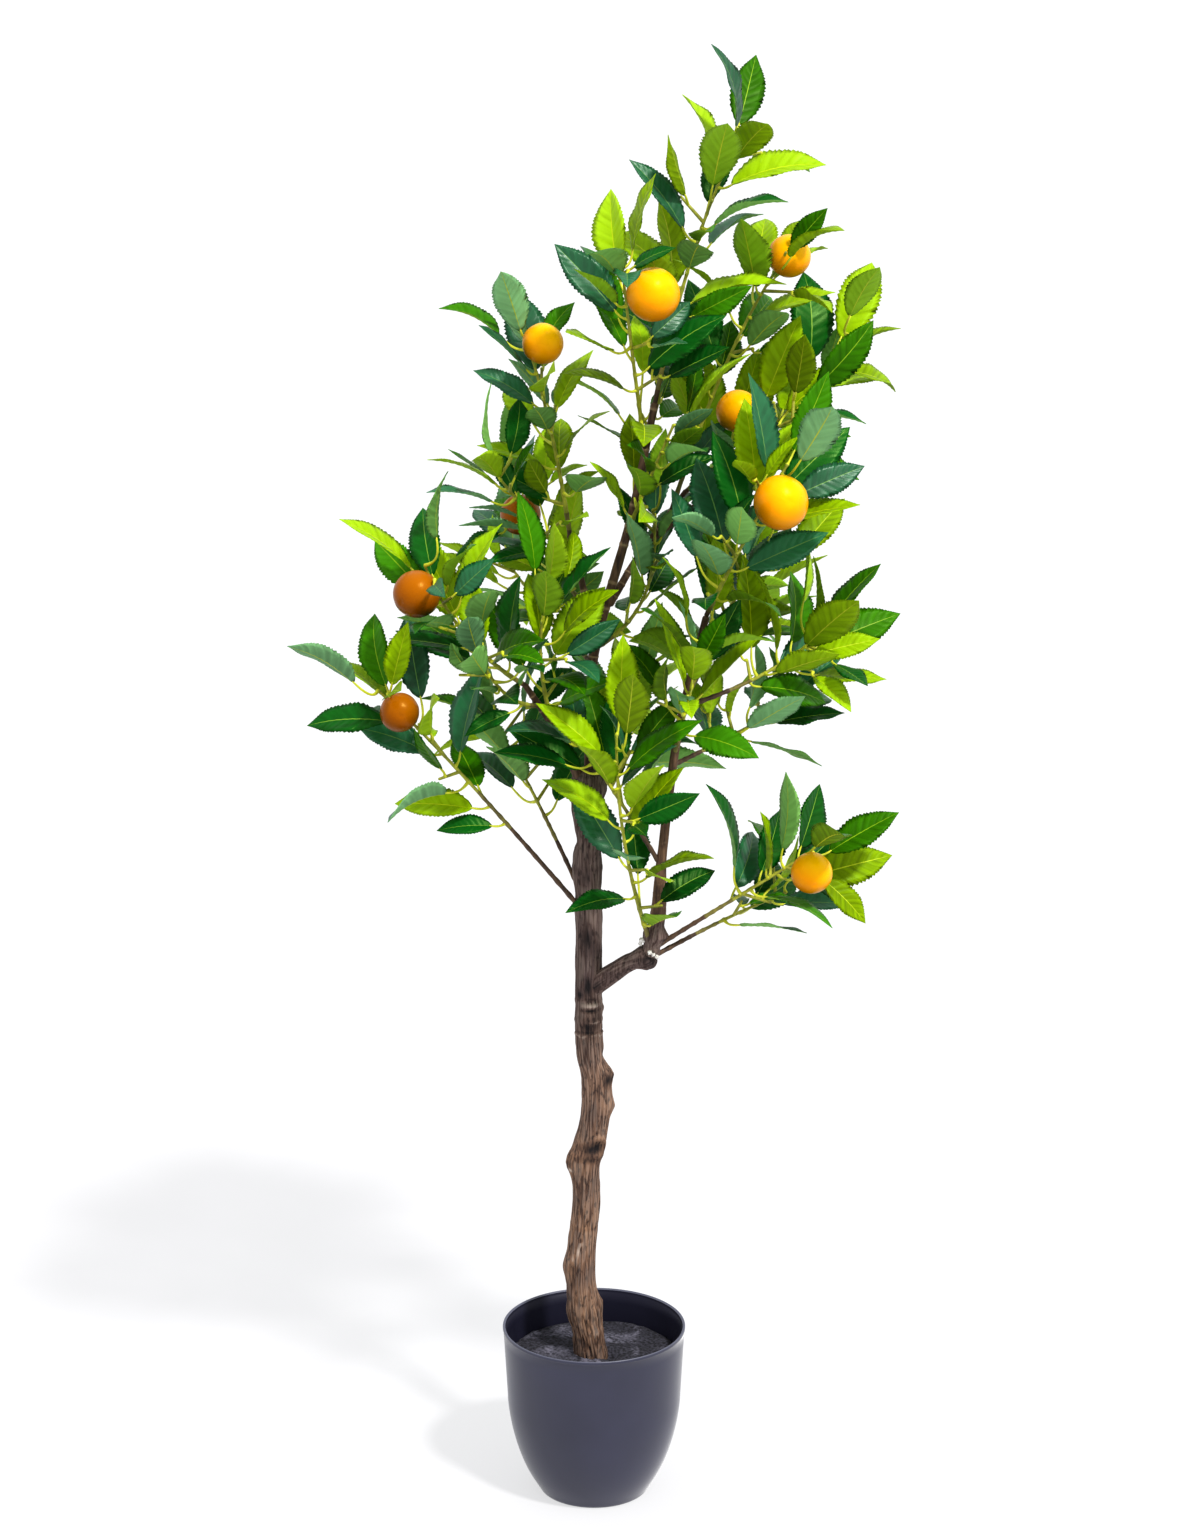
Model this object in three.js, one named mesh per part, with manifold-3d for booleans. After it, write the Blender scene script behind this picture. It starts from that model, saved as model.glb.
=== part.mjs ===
// An artificial orange tree in its pot, about 1.2 m tall. Millimetres, +Z up.
// The origin is the centre of the pot's flat underside, and the tree is usually seen from -Y.
// The trunk stands on the pot's fill. Boughs grow from the trunk, and each mass of foliage is
// one stem with leaves, side twigs and fruit, which grows from a bough by a seeded rule.

import * as THREE from "three";
import { mergeVertices } from "three/addons/utils/BufferGeometryUtils.js";
import Module from "manifold-3d";

const wasm = await Module();
wasm.setup();

// Pot and fill
const POT_HEIGHT = 146;
const POT_RIM_RADIUS = 75.9;
const POT_BELLY_RADIUS = 72.6;
const POT_BELLY_HEIGHT = 85;
const POT_FOOT_RADIUS = 40;
const POT_CURVE = 1.6;
const POT_FLARE = 4.5;
const POT_FLARE_HEIGHT = 3.5;
const POT_WALL = 3.5;
const POT_FLOOR = 5;
const POT_SIDES = 32;
const FILL_LEVEL = 120;
// Places from the foot or floor up to the belly that the pot's curve is drawn through
const POT_OUTSIDE_STEPS = [0, 0.04, 0.15, 0.35, 0.65, 1];
const POT_INSIDE_STEPS = [0, 0.15, 0.45, 1];

// Clear space between pieces that meet
const CLEAR = 0.3;

// Limbs: points along the axis with the radius at each, from the foot to the tip
const LIMBS = {
  trunk: {
    points: [
      [-1, 0, FILL_LEVEL],
      [-11, 0, 190],
      [-5, 0, 265],
      [2, 0, 350],
      [-4, 0, 400],
      [-4, 0, 500],
      [-5, 0, 621],
    ],
    radii: [14.5, 12.2, 11.4, 12, 11.3, 10.8, 11],
    sides: 12,
    steps: 38,
  },
  side_arm: {
    points: [[-4, 0, 440], [15, -9, 457], [31, -15, 469], [50, -20, 476]],
    radii: [8.5, 7.5, 7, 8],
    sides: 9,
    steps: 9,
  },
  right_bough: {
    points: [[46, -20, 478], [52, -23, 515], [55, -26, 566], [67, -33, 666], [88, -40, 760]],
    radii: [9, 7.5, 4.2, 3.6, 3],
    sides: 8,
    steps: 16,
  },
  leader: {
    points: [[-2, 2, 615], [-1, 8, 681], [2, 10, 728], [29, 14, 825], [48, 18, 917]],
    radii: [6.5, 4.5, 4, 3.4, 2.8],
    sides: 8,
    steps: 16,
  },
  left_fork: {
    points: [[0, 10, 717], [-4, 20, 750], [-19, 31, 810]],
    radii: [3, 2.8, 2.5],
    sides: 7,
    steps: 7,
  },
  right_fork: {
    points: [[13, 12, 758], [35, 34, 791], [74, 61, 840]],
    radii: [3, 2.8, 2.4],
    sides: 7,
    steps: 7,
  },
  left_bough: {
    points: [[-8, -2, 612], [-32, -12, 663], [-54, -19, 699]],
    radii: [4.5, 3, 2.4],
    sides: 7,
    steps: 7,
  },
};

// Healed knobs on the trunk: height, direction round it in degrees from +X, and how far they stand out
const TRUNK_KNOBS = [
  [160, 180, 2], [162, 0, 2], [199, 185, 2.6], [289, 175, 2.6], [301, 20, 2.6],
  [341, 0, 2.4], [366, 10, 2.2], [424, 270, 1.6], [556, 200, 1.4], [609, 180, 5], [611, 0, 5],
];
const KNOB_HEIGHT = 10;
const KNOB_SPREAD = THREE.MathUtils.degToRad(48);

// Masses of foliage: the limb and the place along it where the stem grows, the point it bends
// towards and its tip, then the leaves, where they start, their length, the share of light ones
// and the seed. A fruit hangs from a place along the stem, at a centre, with a diameter.
const MASSES = [
  { name: "foliage_top", from: ["leader", 1], bend: [74, 13, 1050], tip: [112, 4, 1122],
    leaves: 15, first: 0.2, size: 70, light: 0.6, seed: 2219 },
  { name: "foliage_upper_front", from: ["leader", 0.9], bend: [28, -38, 970], tip: [22, -46, 1030],
    leaves: 12, first: 0.15, size: 68, light: 0.45, seed: 677,
    fruit: [[0.8, [45, -66, 1012], 41]] },
  { name: "foliage_upper_left", from: ["left_fork", 1], bend: [-30, 9, 896], tip: [-52, -2, 971],
    leaves: 15, first: 0.15, size: 64, light: 0.5, seed: 237,
    fruit: [[0.85, [-39, -18, 969], 32]] },
  { name: "foliage_left_back", from: ["left_fork", 0.5], bend: [-45, 75, 790], tip: [-69, 84, 845],
    leaves: 9, first: 0.3, size: 62, light: 0.45, seed: 143,
    fruit: [[0.6, [-59, 62, 821], 33]] },
  { name: "foliage_left_mid", from: ["left_bough", 1], bend: [-105, -50, 736], tip: [-130, -58, 803],
    leaves: 14, first: 0.15, size: 70, light: 0.5, seed: 665,
    fruit: [[0.88, [-136, -70, 783], 37]] },
  { name: "foliage_left_low", from: ["trunk", 0.835], bend: [-117, -50, 655], tip: [-168, -54, 703],
    leaves: 10, first: 0.42, size: 66, light: 0.5, seed: 90,
    fruit: [[0.86, [-151, -64, 688], 31]] },
  { name: "foliage_left_inner", from: ["trunk", 0.845], bend: [-52, 24, 612], tip: [-84, 38, 659],
    leaves: 9, first: 0.4, size: 64, light: 0.4, seed: 289 },
  { name: "foliage_centre_left", from: ["left_bough", 0.5], bend: [-50, -46, 735], tip: [-34, -50, 782],
    leaves: 11, first: 0.15, size: 66, light: 0.75, seed: 867 },
  { name: "foliage_centre_front", from: ["right_bough", 0.03], bend: [16, -75, 588], tip: [18, -84, 675],
    leaves: 15, first: 0.12, size: 68, light: 0.5, seed: 387 },
  { name: "foliage_right_low", from: ["right_bough", 0.02], bend: [131, -37, 541], tip: [174, -36, 567],
    leaves: 11, first: 0.42, size: 68, light: 0.5, seed: 74,
    fruit: [[0.95, [172, -58, 556], 33]] },
  { name: "foliage_right_low_back", from: ["side_arm", 1], bend: [108, 0, 503], tip: [156, 12, 519],
    leaves: 5, first: 0.5, size: 64, light: 0.2, seed: 199 },
  { name: "foliage_right_mid", from: ["right_bough", 0.8], bend: [143, -17, 704], tip: [180, -12, 741],
    leaves: 12, first: 0.4, size: 68, light: 0.65, seed: 854 },
  { name: "foliage_right_mid_back", from: ["right_bough", 0.68], bend: [100, 14, 643], tip: [158, 26, 673],
    leaves: 7, first: 0.4, size: 64, light: 0.2, seed: 162 },
  { name: "foliage_right_inner", from: ["right_bough", 0.86], bend: [99, 23, 738], tip: [133, 38, 789],
    leaves: 10, first: 0.2, size: 66, light: 0.75, seed: 815 },
  { name: "foliage_right_front", from: ["right_bough", 1], bend: [114, -62, 822], tip: [148, -62, 882],
    leaves: 15, first: 0.12, size: 70, light: 0.35, seed: 214,
    fruit: [[0.75, [142, -92, 858], 42]] },
  { name: "foliage_right_upper", from: ["right_fork", 1], bend: [112, 40, 880], tip: [158, 14, 906],
    leaves: 14, first: 0.12, size: 70, light: 0.65, seed: 334,
    fruit: [[0.7, [113, 20, 911], 34]] },
  { name: "foliage_right_top", from: ["right_fork", 0.85], bend: [108, 66, 968], tip: [150, 44, 1028],
    leaves: 15, first: 0.25, size: 70, light: 0.6, seed: 924,
    fruit: [[0.85, [153, 40, 1030], 34]] },
  { name: "foliage_right_edge", from: ["right_fork", 0.62], bend: [136, 66, 868], tip: [200, 48, 968],
    leaves: 10, first: 0.45, size: 70, light: 0.6, seed: 190 },
  { name: "foliage_centre", from: ["leader", 0.48], bend: [57, 10, 753], tip: [47, 26, 831],
    leaves: 10, first: 0.2, size: 64, light: 0.4, seed: 320 },
  { name: "foliage_front_mid", from: ["right_bough", 0.45], bend: [15, -32, 619], tip: [-15, -44, 665],
    leaves: 9, first: 0.35, size: 68, light: 0.4, seed: 332 },
  { name: "foliage_centre_high", from: ["leader", 0.72], bend: [38, -8, 850], tip: [62, -14, 905],
    leaves: 9, first: 0.2, size: 64, light: 0.6, seed: 143 },
  { name: "foliage_left_front", from: ["left_bough", 0.75], bend: [-70, -60, 690], tip: [-88, -76, 735],
    leaves: 9, first: 0.25, size: 66, light: 0.45, seed: 657 },
  { name: "foliage_right_centre", from: ["right_bough", 0.7], bend: [72, -60, 690], tip: [84, -74, 745],
    leaves: 10, first: 0.25, size: 66, light: 0.5, seed: 345 },
  { name: "foliage_left_up", from: ["left_fork", 0.75], bend: [-50, 5, 830], tip: [-78, -8, 868],
    leaves: 9, first: 0.25, size: 62, light: 0.5, seed: 113 },
  { name: "foliage_back_left", from: ["leader", 0.42], bend: [-42, 110, 730], tip: [-74, 150, 768],
    leaves: 10, first: 0.3, size: 66, light: 0.5, seed: 431 },
  { name: "foliage_back_right", from: ["right_bough", 0.82], bend: [106, 100, 716], tip: [140, 145, 761],
    leaves: 10, first: 0.3, size: 66, light: 0.5, seed: 586 },
  { name: "foliage_back_top", from: ["leader", 0.78], bend: [51, 94, 915], tip: [74, 112, 975],
    leaves: 10, first: 0.25, size: 66, light: 0.5, seed: 812 },
  { name: "foliage_back_low", from: ["trunk", 0.97], bend: [18, 105, 602], tip: [39, 140, 664],
    leaves: 9, first: 0.35, size: 66, light: 0.5, seed: 370 },
];

// Stems, petioles and fruit
const STEM_FOOT_RADIUS = 3;
const STEM_TIP_RADIUS = 2.2;
const STEM_STEPS = 6;
const PETIOLE_ROOT_RADIUS = 0.6;
const PETIOLE_RADIUS = 1.1;
const FRUIT_STALK_RADIUS = 1.3;
const FRUIT_STALK_END = 0.6;
const FRUIT_SIDES = 9;
const FRUIT_BANDS = 6;

// Blades: the places along them that carry the outline, then width, arch, fold and roll
const BLADE_THICKNESS = 1.1;
const BLADE_STATIONS = [0.28, 0.66];
const BLADE_WIDTH = [0.41, 0.51];
const BLADE_ARCH = [0.1, 0.9];
const BLADE_FOLD = [0.05, 0.25];
const BLADE_ROLL = [-0.7, 0.7];
const WIDEST_AT = 0.45;
const FOOT_CURVE = 0.83;
const TIP_CURVE = 1.0144;

// How leaves stand on their stem: turn from one to the next, angle to the stem at its foot and at
// its tip, how strongly they turn up, and how far each of these strays
const LEAF_TURN = THREE.MathUtils.degToRad(137.5);
const TURN_STRAY = [-0.4, 0.4];
const OPEN_FOOT = THREE.MathUtils.degToRad(56);
const OPEN_TIP = THREE.MathUtils.degToRad(36);
const LEAN_STRAY = [-0.25, 0.25];
const LAST_LEAN = 0.4;
const LIFT = 0.25;
const LENGTH_STRAY = [0.85, 1.15];
const PETIOLE = [9, 15];
const PETIOLE_ALONG = 1.2;
const SIDE_TWIG = [22, 34];
const SIDE_TWIG_EVERY = 4;

// Faces turn towards the stem's tip, the sky and the front, unless the blade runs that way itself
const FACE_ALONG = 0.7;
const FACE_UP = 0.6;
const FACE_FRONT = 0.15;
const FACE_PARALLEL = 0.93;

// Space that leaves keep to what is there: first the gap to their own mass, then to another one
const BLADE_GAP = [5.5, 9];
const STALK_GAP = [4, 7];
const STEM_GAP = [4.5, 8];
const LIMB_GAP = 3;
const FRUIT_GAP = 3;
const TRIES = 18;
const TRY_SHRINK = 0.02;
const TRY_WIDEN = 0.5;

// Where blades, stalks, stems and limbs are tested
const BLADE_SAMPLES = [0.02, 0.19, 0.36, 0.52, 0.68, 0.84, 1].flatMap((along) => (
  [-0.9, -0.3, 0.3, 0.9].map((across) => [along, across])
));
const STALK_SAMPLES = [0.25, 0.5, 0.75, 1];
const STEM_SAMPLES = 30;
const LIMB_SAMPLES = 6;
const TRUNK_SAMPLES = 10;

const UP = new THREE.Vector3(0, 0, 1);
const BACK = new THREE.Vector3(0, 1, 0);
const vector = (list) => new THREE.Vector3(...list);

// Random numbers that are the same in every run
class Draw {
  constructor(seed) {
    this.state = (Math.imul(seed, 7919) + 104729) >>> 0;
  }
  next() {
    this.state = (Math.imul(this.state, 1664525) + 1013904223) >>> 0;
    return this.state / 4294967296;
  }
  between(low, high) {
    return low + (high - low) * this.next();
  }
}

// The part of a direction that is square to another
function squareTo(direction, axis) {
  return direction.clone().addScaledVector(axis, -direction.dot(axis)).normalize();
}

// Solids
function toSolid(geometry) {
  const bare = geometry.clone();
  bare.deleteAttribute("normal");
  bare.deleteAttribute("uv");
  const merged = mergeVertices(bare, 1e-4);
  return new wasm.Manifold(new wasm.Mesh({
    numProp: 3,
    vertProperties: new Float32Array(merged.attributes.position.array),
    triVerts: new Uint32Array(merged.index.array),
  }));
}

function toGeometry(solid) {
  const mesh = solid.getMesh();
  const geometry = new THREE.BufferGeometry();
  geometry.setAttribute("position", new THREE.BufferAttribute(mesh.vertProperties, 3));
  geometry.setIndex(new THREE.BufferAttribute(mesh.triVerts, 1));
  geometry.computeVertexNormals();
  return geometry;
}

// The largest body of a solid, without loose scraps, and with sealed hollows filled
function mainBody(solid) {
  return solid.decompose().reduce((a, b) => (b.volume() > a.volume() ? b : a));
}

// A closed solid through rings of points with as many points each. Each ring runs anticlockwise
// as seen from the far end, and the last one may be a single point.
function loft(rings) {
  const points = rings.flat();
  const count = rings[0].length;
  const index = [];
  rings.slice(1).forEach((ring, i) => {
    const low = i * count;
    for (let j = 0; j < count; j += 1) {
      const next = (j + 1) % count;
      if (ring.length === 1) {
        index.push(low + j, low + next, low + count);
      } else {
        index.push(low + j, low + next, low + count + next);
        index.push(low + j, low + count + next, low + count + j);
      }
    }
  });
  const top = (rings.length - 1) * count;
  for (let j = 1; j < count - 1; j += 1) {
    index.push(0, j + 1, j);
    if (rings.at(-1).length > 1) index.push(top, top + j, top + j + 1);
  }
  const geometry = new THREE.BufferGeometry();
  const flat = new Float32Array(points.flatMap((p) => [p.x, p.y, p.z]));
  geometry.setAttribute("position", new THREE.BufferAttribute(flat, 3));
  geometry.setIndex(index);
  return toSolid(geometry);
}

// A ring of points round a centre, square to an axis
function ringRound(centre, axis, radiusAt, sides) {
  const first = squareTo(BACK, axis);
  const second = axis.clone().cross(first);
  return Array.from({ length: sides }, (_, j) => {
    const angle = (2 * Math.PI * j) / sides;
    const out = first.clone().multiplyScalar(Math.cos(angle)).addScaledVector(second, Math.sin(angle));
    return centre.clone().addScaledVector(out, radiusAt(out));
  });
}

// Pot
function potRadius(height) {
  if (height >= POT_BELLY_HEIGHT) {
    const share = (height - POT_BELLY_HEIGHT) / (POT_HEIGHT - POT_BELLY_HEIGHT);
    return POT_BELLY_RADIUS + share * (POT_RIM_RADIUS - POT_BELLY_RADIUS);
  }
  const below = 1 - height / POT_BELLY_HEIGHT;
  const bulge = (1 - below ** POT_CURVE) ** (1 / POT_CURVE);
  const flare = POT_FLARE * Math.exp(-height / POT_FLARE_HEIGHT);
  return POT_FOOT_RADIUS + bulge * (POT_BELLY_RADIUS - POT_FOOT_RADIUS) + flare;
}

// Heights that the pot's curve is drawn through, from a given one up to the belly
function curveHeights(from, steps) {
  return steps.map((share) => from + share * (POT_BELLY_HEIGHT - from));
}

function turned(profile) {
  const lathe = new THREE.LatheGeometry(profile.map(([r, z]) => new THREE.Vector2(r, z)), POT_SIDES);
  return toSolid(lathe.rotateX(Math.PI / 2));
}

function potSolid() {
  const outside = curveHeights(0, POT_OUTSIDE_STEPS).map((z) => [potRadius(z), z]);
  const inside = curveHeights(POT_FLOOR, POT_INSIDE_STEPS).map((z) => [potRadius(z) - POT_WALL, z]);
  const lip = POT_WALL / 3;
  return turned([
    [0, 0],
    ...outside,
    [POT_RIM_RADIUS, POT_HEIGHT - lip],
    [POT_RIM_RADIUS - lip, POT_HEIGHT],
    [POT_RIM_RADIUS - POT_WALL + lip, POT_HEIGHT],
    [POT_RIM_RADIUS - POT_WALL, POT_HEIGHT - lip],
    ...inside.reverse(),
    [0, POT_FLOOR],
  ]);
}

function fillSolid() {
  const fillRadius = (z) => potRadius(z) - POT_WALL - CLEAR;
  return turned([
    [0, POT_FLOOR],
    ...curveHeights(POT_FLOOR, POT_INSIDE_STEPS).map((z) => [fillRadius(z), z]),
    [fillRadius(FILL_LEVEL), FILL_LEVEL],
    [0, FILL_LEVEL],
  ]);
}

// Limbs
function limbCurve(name) {
  return new THREE.CatmullRomCurve3(LIMBS[name].points.map(vector), false, "catmullrom", 0.5);
}

function limbRadius(name, at) {
  const { radii } = LIMBS[name];
  const place = at * (radii.length - 1);
  const i = Math.min(Math.floor(place), radii.length - 2);
  return THREE.MathUtils.lerp(radii[i], radii[i + 1], place - i);
}

// How far the trunk's knobs stand out at a height, in a direction
function knobSize(height, out) {
  const turn = Math.atan2(out.y, out.x);
  return TRUNK_KNOBS.reduce((sum, [level, degrees, size]) => {
    const apart = turn - THREE.MathUtils.degToRad(degrees);
    const round = Math.atan2(Math.sin(apart), Math.cos(apart)) / KNOB_SPREAD;
    const rise = (height - level) / KNOB_HEIGHT;
    return sum + size * Math.exp(-rise * rise - round * round);
  }, 0);
}

// A limb, or the space that other pieces leave round it when grow is more than 0
function limbSolid(name, grow = 0) {
  const { sides, steps } = LIMBS[name];
  const curve = limbCurve(name);
  const rings = [];
  for (let i = 0; i <= steps; i += 1) {
    const at = i / steps;
    const centre = curve.getPoint(at);
    const foot = name === "trunk" && i === 0;
    const axis = foot ? UP : curve.getTangent(at);
    if (!foot) centre.addScaledVector(axis, i === 0 ? -grow : i === steps ? grow : 0);
    rings.push(ringRound(centre, axis, (out) => {
      const knobs = name === "trunk" ? knobSize(centre.z, out) : 0;
      return limbRadius(name, at) + knobs + grow / Math.cos(Math.PI / sides);
    }, sides));
  }
  return loft(rings);
}

// Foliage
function stemOf(mass) {
  const [limb, at] = mass.from;
  return [limbCurve(limb).getPoint(at), vector(mass.bend), vector(mass.tip)];
}

function stemPoint([foot, bend, tip], t) {
  const point = foot.clone().multiplyScalar((1 - t) ** 2);
  return point.addScaledVector(bend, 2 * t * (1 - t)).addScaledVector(tip, t * t);
}

function stemHeading([foot, bend, tip], t) {
  const early = bend.clone().sub(foot).multiplyScalar(1 - t);
  return early.addScaledVector(tip.clone().sub(bend), t).normalize();
}

// Half width of a blade as a share of its widest half width, from its foot at 0 to its tip at 1
function halfWidth(along) {
  if (along <= 0 || along >= 1) return 0;
  return (along / WIDEST_AT) ** FOOT_CURVE * ((1 - along) / (1 - WIDEST_AT)) ** TIP_CURVE;
}

// A point of a blade, from foot to tip and from -1 to 1 across. It arches back from its face, and
// its two halves fold up towards it.
function bladePoint(leaf, along, across) {
  const bent = leaf.arch * along;
  const reach = (Math.sin(bent) / leaf.arch) * leaf.length;
  const drop = ((1 - Math.cos(bent)) / leaf.arch) * leaf.length;
  const half = leaf.length * leaf.wide * 0.5 * halfWidth(along);
  const up = bladeUp(leaf, along);
  return leaf.foot.clone()
    .addScaledVector(leaf.heading, reach)
    .addScaledVector(leaf.face, -drop)
    .addScaledVector(leaf.side, across * half * Math.cos(leaf.fold))
    .addScaledVector(up, Math.abs(across) * half * Math.sin(leaf.fold));
}

function bladeUp(leaf, along) {
  const bent = leaf.arch * along;
  const up = leaf.face.clone().multiplyScalar(Math.cos(bent));
  return up.addScaledVector(leaf.heading, Math.sin(bent));
}

function bladeSamples(leaf) {
  return BLADE_SAMPLES.map(([along, across]) => bladePoint(leaf, along, across));
}

function stalkSamples(leaf) {
  return STALK_SAMPLES.map((share) => leaf.root.clone().lerp(leaf.foot, share));
}

// The points that leaves stay clear of, each with its gaps and the mass that it belongs to
class Space {
  constructor() {
    this.taken = [];
  }
  put(points, gaps, owner) {
    points.forEach((point) => this.taken.push({ point, gaps, owner }));
  }
  bladeFits(points, owner) {
    return !this.taken.some(({ point, gaps, owner: other }) => {
      const keep = gaps[other === owner ? 0 : 1];
      return points.some((p) => p.distanceToSquared(point) < keep * keep);
    });
  }
  stalkFits(points, owner) {
    return !this.taken.some(({ point, gaps, owner: other }) => {
      if (other === owner || other === "limb") return false;
      return points.some((p) => p.distanceToSquared(point) < gaps[1] * gaps[1]);
    });
  }
}

// Limbs, stems and fruit take their space before any leaf does
function spaceOfFrame() {
  const space = new Space();
  Object.keys(LIMBS).forEach((name) => {
    const curve = limbCurve(name);
    const stretches = LIMBS[name].points.length - 1;
    const steps = stretches * (name === "trunk" ? TRUNK_SAMPLES : LIMB_SAMPLES);
    for (let i = 0; i <= steps; i += 1) {
      const keep = limbRadius(name, i / steps) + LIMB_GAP;
      space.put([curve.getPoint(i / steps)], [keep, keep], "limb");
    }
  });
  MASSES.forEach((mass) => {
    const stem = stemOf(mass);
    for (let i = 0; i <= STEM_SAMPLES; i += 1) {
      space.put([stemPoint(stem, i / STEM_SAMPLES)], STEM_GAP, mass.name);
    }
    (mass.fruit ?? []).forEach(([, centre, diameter]) => {
      const keep = diameter / 2 + FRUIT_GAP;
      space.put([vector(centre)], [keep, keep], mass.name);
    });
  });
  return space;
}

function newLeaf(draw, root, axis, turn, lean, length, reach) {
  const first = squareTo(BACK, axis);
  const second = axis.clone().cross(first);
  const out = first.multiplyScalar(Math.cos(turn)).addScaledVector(second, Math.sin(turn));
  const heading = axis.clone().multiplyScalar(Math.cos(lean)).addScaledVector(out, Math.sin(lean));
  heading.addScaledVector(UP, LIFT).normalize();
  const start = out.clone().addScaledVector(heading, PETIOLE_ALONG).normalize();
  const foot = root.clone().addScaledVector(start, reach);
  const skyward = axis.clone().multiplyScalar(FACE_ALONG).addScaledVector(UP, FACE_UP);
  skyward.addScaledVector(BACK, -FACE_FRONT).normalize();
  const level = Math.abs(skyward.dot(heading)) < FACE_PARALLEL
    ? squareTo(skyward, heading)
    : squareTo(out, heading).negate();
  const roll = draw.between(...BLADE_ROLL);
  const across = heading.clone().cross(level);
  const face = level.multiplyScalar(Math.cos(roll)).addScaledVector(across, Math.sin(roll));
  return {
    root,
    foot,
    heading,
    face,
    side: heading.clone().cross(face),
    length,
    wide: draw.between(...BLADE_WIDTH),
    arch: draw.between(...BLADE_ARCH),
    fold: draw.between(...BLADE_FOLD),
  };
}

// The leaves of one mass. Each tries a few directions, and one that finds no room is skipped.
function growLeaves(mass, space) {
  const draw = new Draw(mass.seed);
  const stem = stemOf(mass);
  const leaves = [];
  const firstTurn = draw.between(0, 2 * Math.PI);
  for (let i = 0; i < mass.leaves; i += 1) {
    const share = i / (mass.leaves - 1);
    const at = mass.first + (1 - mass.first) * share;
    const root = stemPoint(stem, at);
    const axis = stemHeading(stem, at);
    const light = draw.next() < mass.light;
    const length = mass.size * draw.between(...LENGTH_STRAY);
    const stalk = i % SIDE_TWIG_EVERY === 1 ? SIDE_TWIG : PETIOLE;
    for (let attempt = 0; attempt < TRIES; attempt += 1) {
      const stray = draw.between(...TURN_STRAY) * (1 + TRY_WIDEN * attempt);
      const turn = firstTurn + i * LEAF_TURN + stray;
      let lean = OPEN_FOOT * (1 - share) + OPEN_TIP * share + draw.between(...LEAN_STRAY);
      if (i === mass.leaves - 1) lean *= LAST_LEAN;
      const reach = draw.between(...stalk);
      const shrunk = length * (1 - TRY_SHRINK * attempt);
      const leaf = newLeaf(draw, root, axis, turn, lean, shrunk, reach);
      const blade = bladeSamples(leaf);
      if (space.bladeFits(blade, mass.name) && space.stalkFits(stalkSamples(leaf), mass.name)) {
        leaves.push({ ...leaf, light });
        space.put(blade, BLADE_GAP, mass.name);
        space.put(stalkSamples(leaf), STALK_GAP, mass.name);
        break;
      }
    }
  }
  return leaves;
}

// A leaf with its stalk: three-sided from its root in the stem to its pointed tip
function leafSolid(leaf) {
  const ring = (centre, radius) => [60, 180, 300].map((degrees) => {
    const angle = THREE.MathUtils.degToRad(degrees);
    return centre.clone()
      .addScaledVector(leaf.face, radius * Math.cos(angle))
      .addScaledVector(leaf.side, radius * Math.sin(angle));
  });
  const blade = BLADE_STATIONS.map((along) => {
    const half = leaf.length * leaf.wide * 0.5 * halfWidth(along);
    const up = bladeUp(leaf, along);
    const rise = 0.5 * half * Math.sin(leaf.fold);
    return [
      bladePoint(leaf, along, 1).addScaledVector(up, -rise),
      bladePoint(leaf, along, 0).addScaledVector(up, rise - BLADE_THICKNESS),
      bladePoint(leaf, along, -1).addScaledVector(up, -rise),
    ];
  });
  return loft([
    ring(leaf.root, PETIOLE_ROOT_RADIUS),
    ring(leaf.foot, PETIOLE_RADIUS),
    ...blade,
    [bladePoint(leaf, 1, 0)],
  ]);
}

function stemSolid(stem) {
  const rings = [];
  for (let i = 0; i <= STEM_STEPS; i += 1) {
    const at = i / STEM_STEPS;
    const radius = THREE.MathUtils.lerp(STEM_FOOT_RADIUS, STEM_TIP_RADIUS, at);
    rings.push(ringRound(stemPoint(stem, at), stemHeading(stem, at), () => radius, 3));
  }
  return loft(rings);
}

function fruitSolid(stem, [at, centre, diameter]) {
  const middle = vector(centre);
  const ball = new THREE.SphereGeometry(diameter / 2, FRUIT_SIDES, FRUIT_BANDS);
  ball.translate(middle.x, middle.y, middle.z);
  const root = stemPoint(stem, at);
  const axis = middle.clone().sub(root).normalize();
  const end = middle.clone().addScaledVector(axis, -FRUIT_STALK_END * (diameter / 2));
  const stalk = [root, end].map((p) => ringRound(p, axis, () => FRUIT_STALK_RADIUS, 3));
  return toSolid(ball).add(loft(stalk));
}

function massSolid(mass, leaves, limbSpace) {
  const stem = stemOf(mass);
  const fruit = (mass.fruit ?? []).map((row) => fruitSolid(stem, row));
  const pieces = [stemSolid(stem), ...leaves.map(leafSolid), ...fruit];
  const whole = pieces.reduce((a, b) => a.add(b));
  return mainBody(whole.subtract(limbSpace));
}

// Colours and finish
const FINISH = {
  pot: { color: 0x46464e, roughness: 0.62, metalness: 0 },
  fill: { color: 0x6d6863, roughness: 0.95, metalness: 0 },
  bark: { color: 0x5d4636, roughness: 0.85, metalness: 0 },
};
const DARK_LEAF = new THREE.Color(0x1c5a30);
const LIGHT_LEAF = new THREE.Color(0x86b52c);

function leafFinish(light) {
  return { color: DARK_LEAF.clone().lerp(LIGHT_LEAF, light), roughness: 0.45, metalness: 0 };
}

const tree = new THREE.Group();

function addPiece(name, solid, finish) {
  const mesh = new THREE.Mesh(toGeometry(solid), new THREE.MeshStandardMaterial(finish));
  mesh.name = name;
  tree.add(mesh);
}

addPiece("pot", potSolid(), FINISH.pot);
addPiece("pot_fill", fillSolid(), FINISH.fill);

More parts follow.
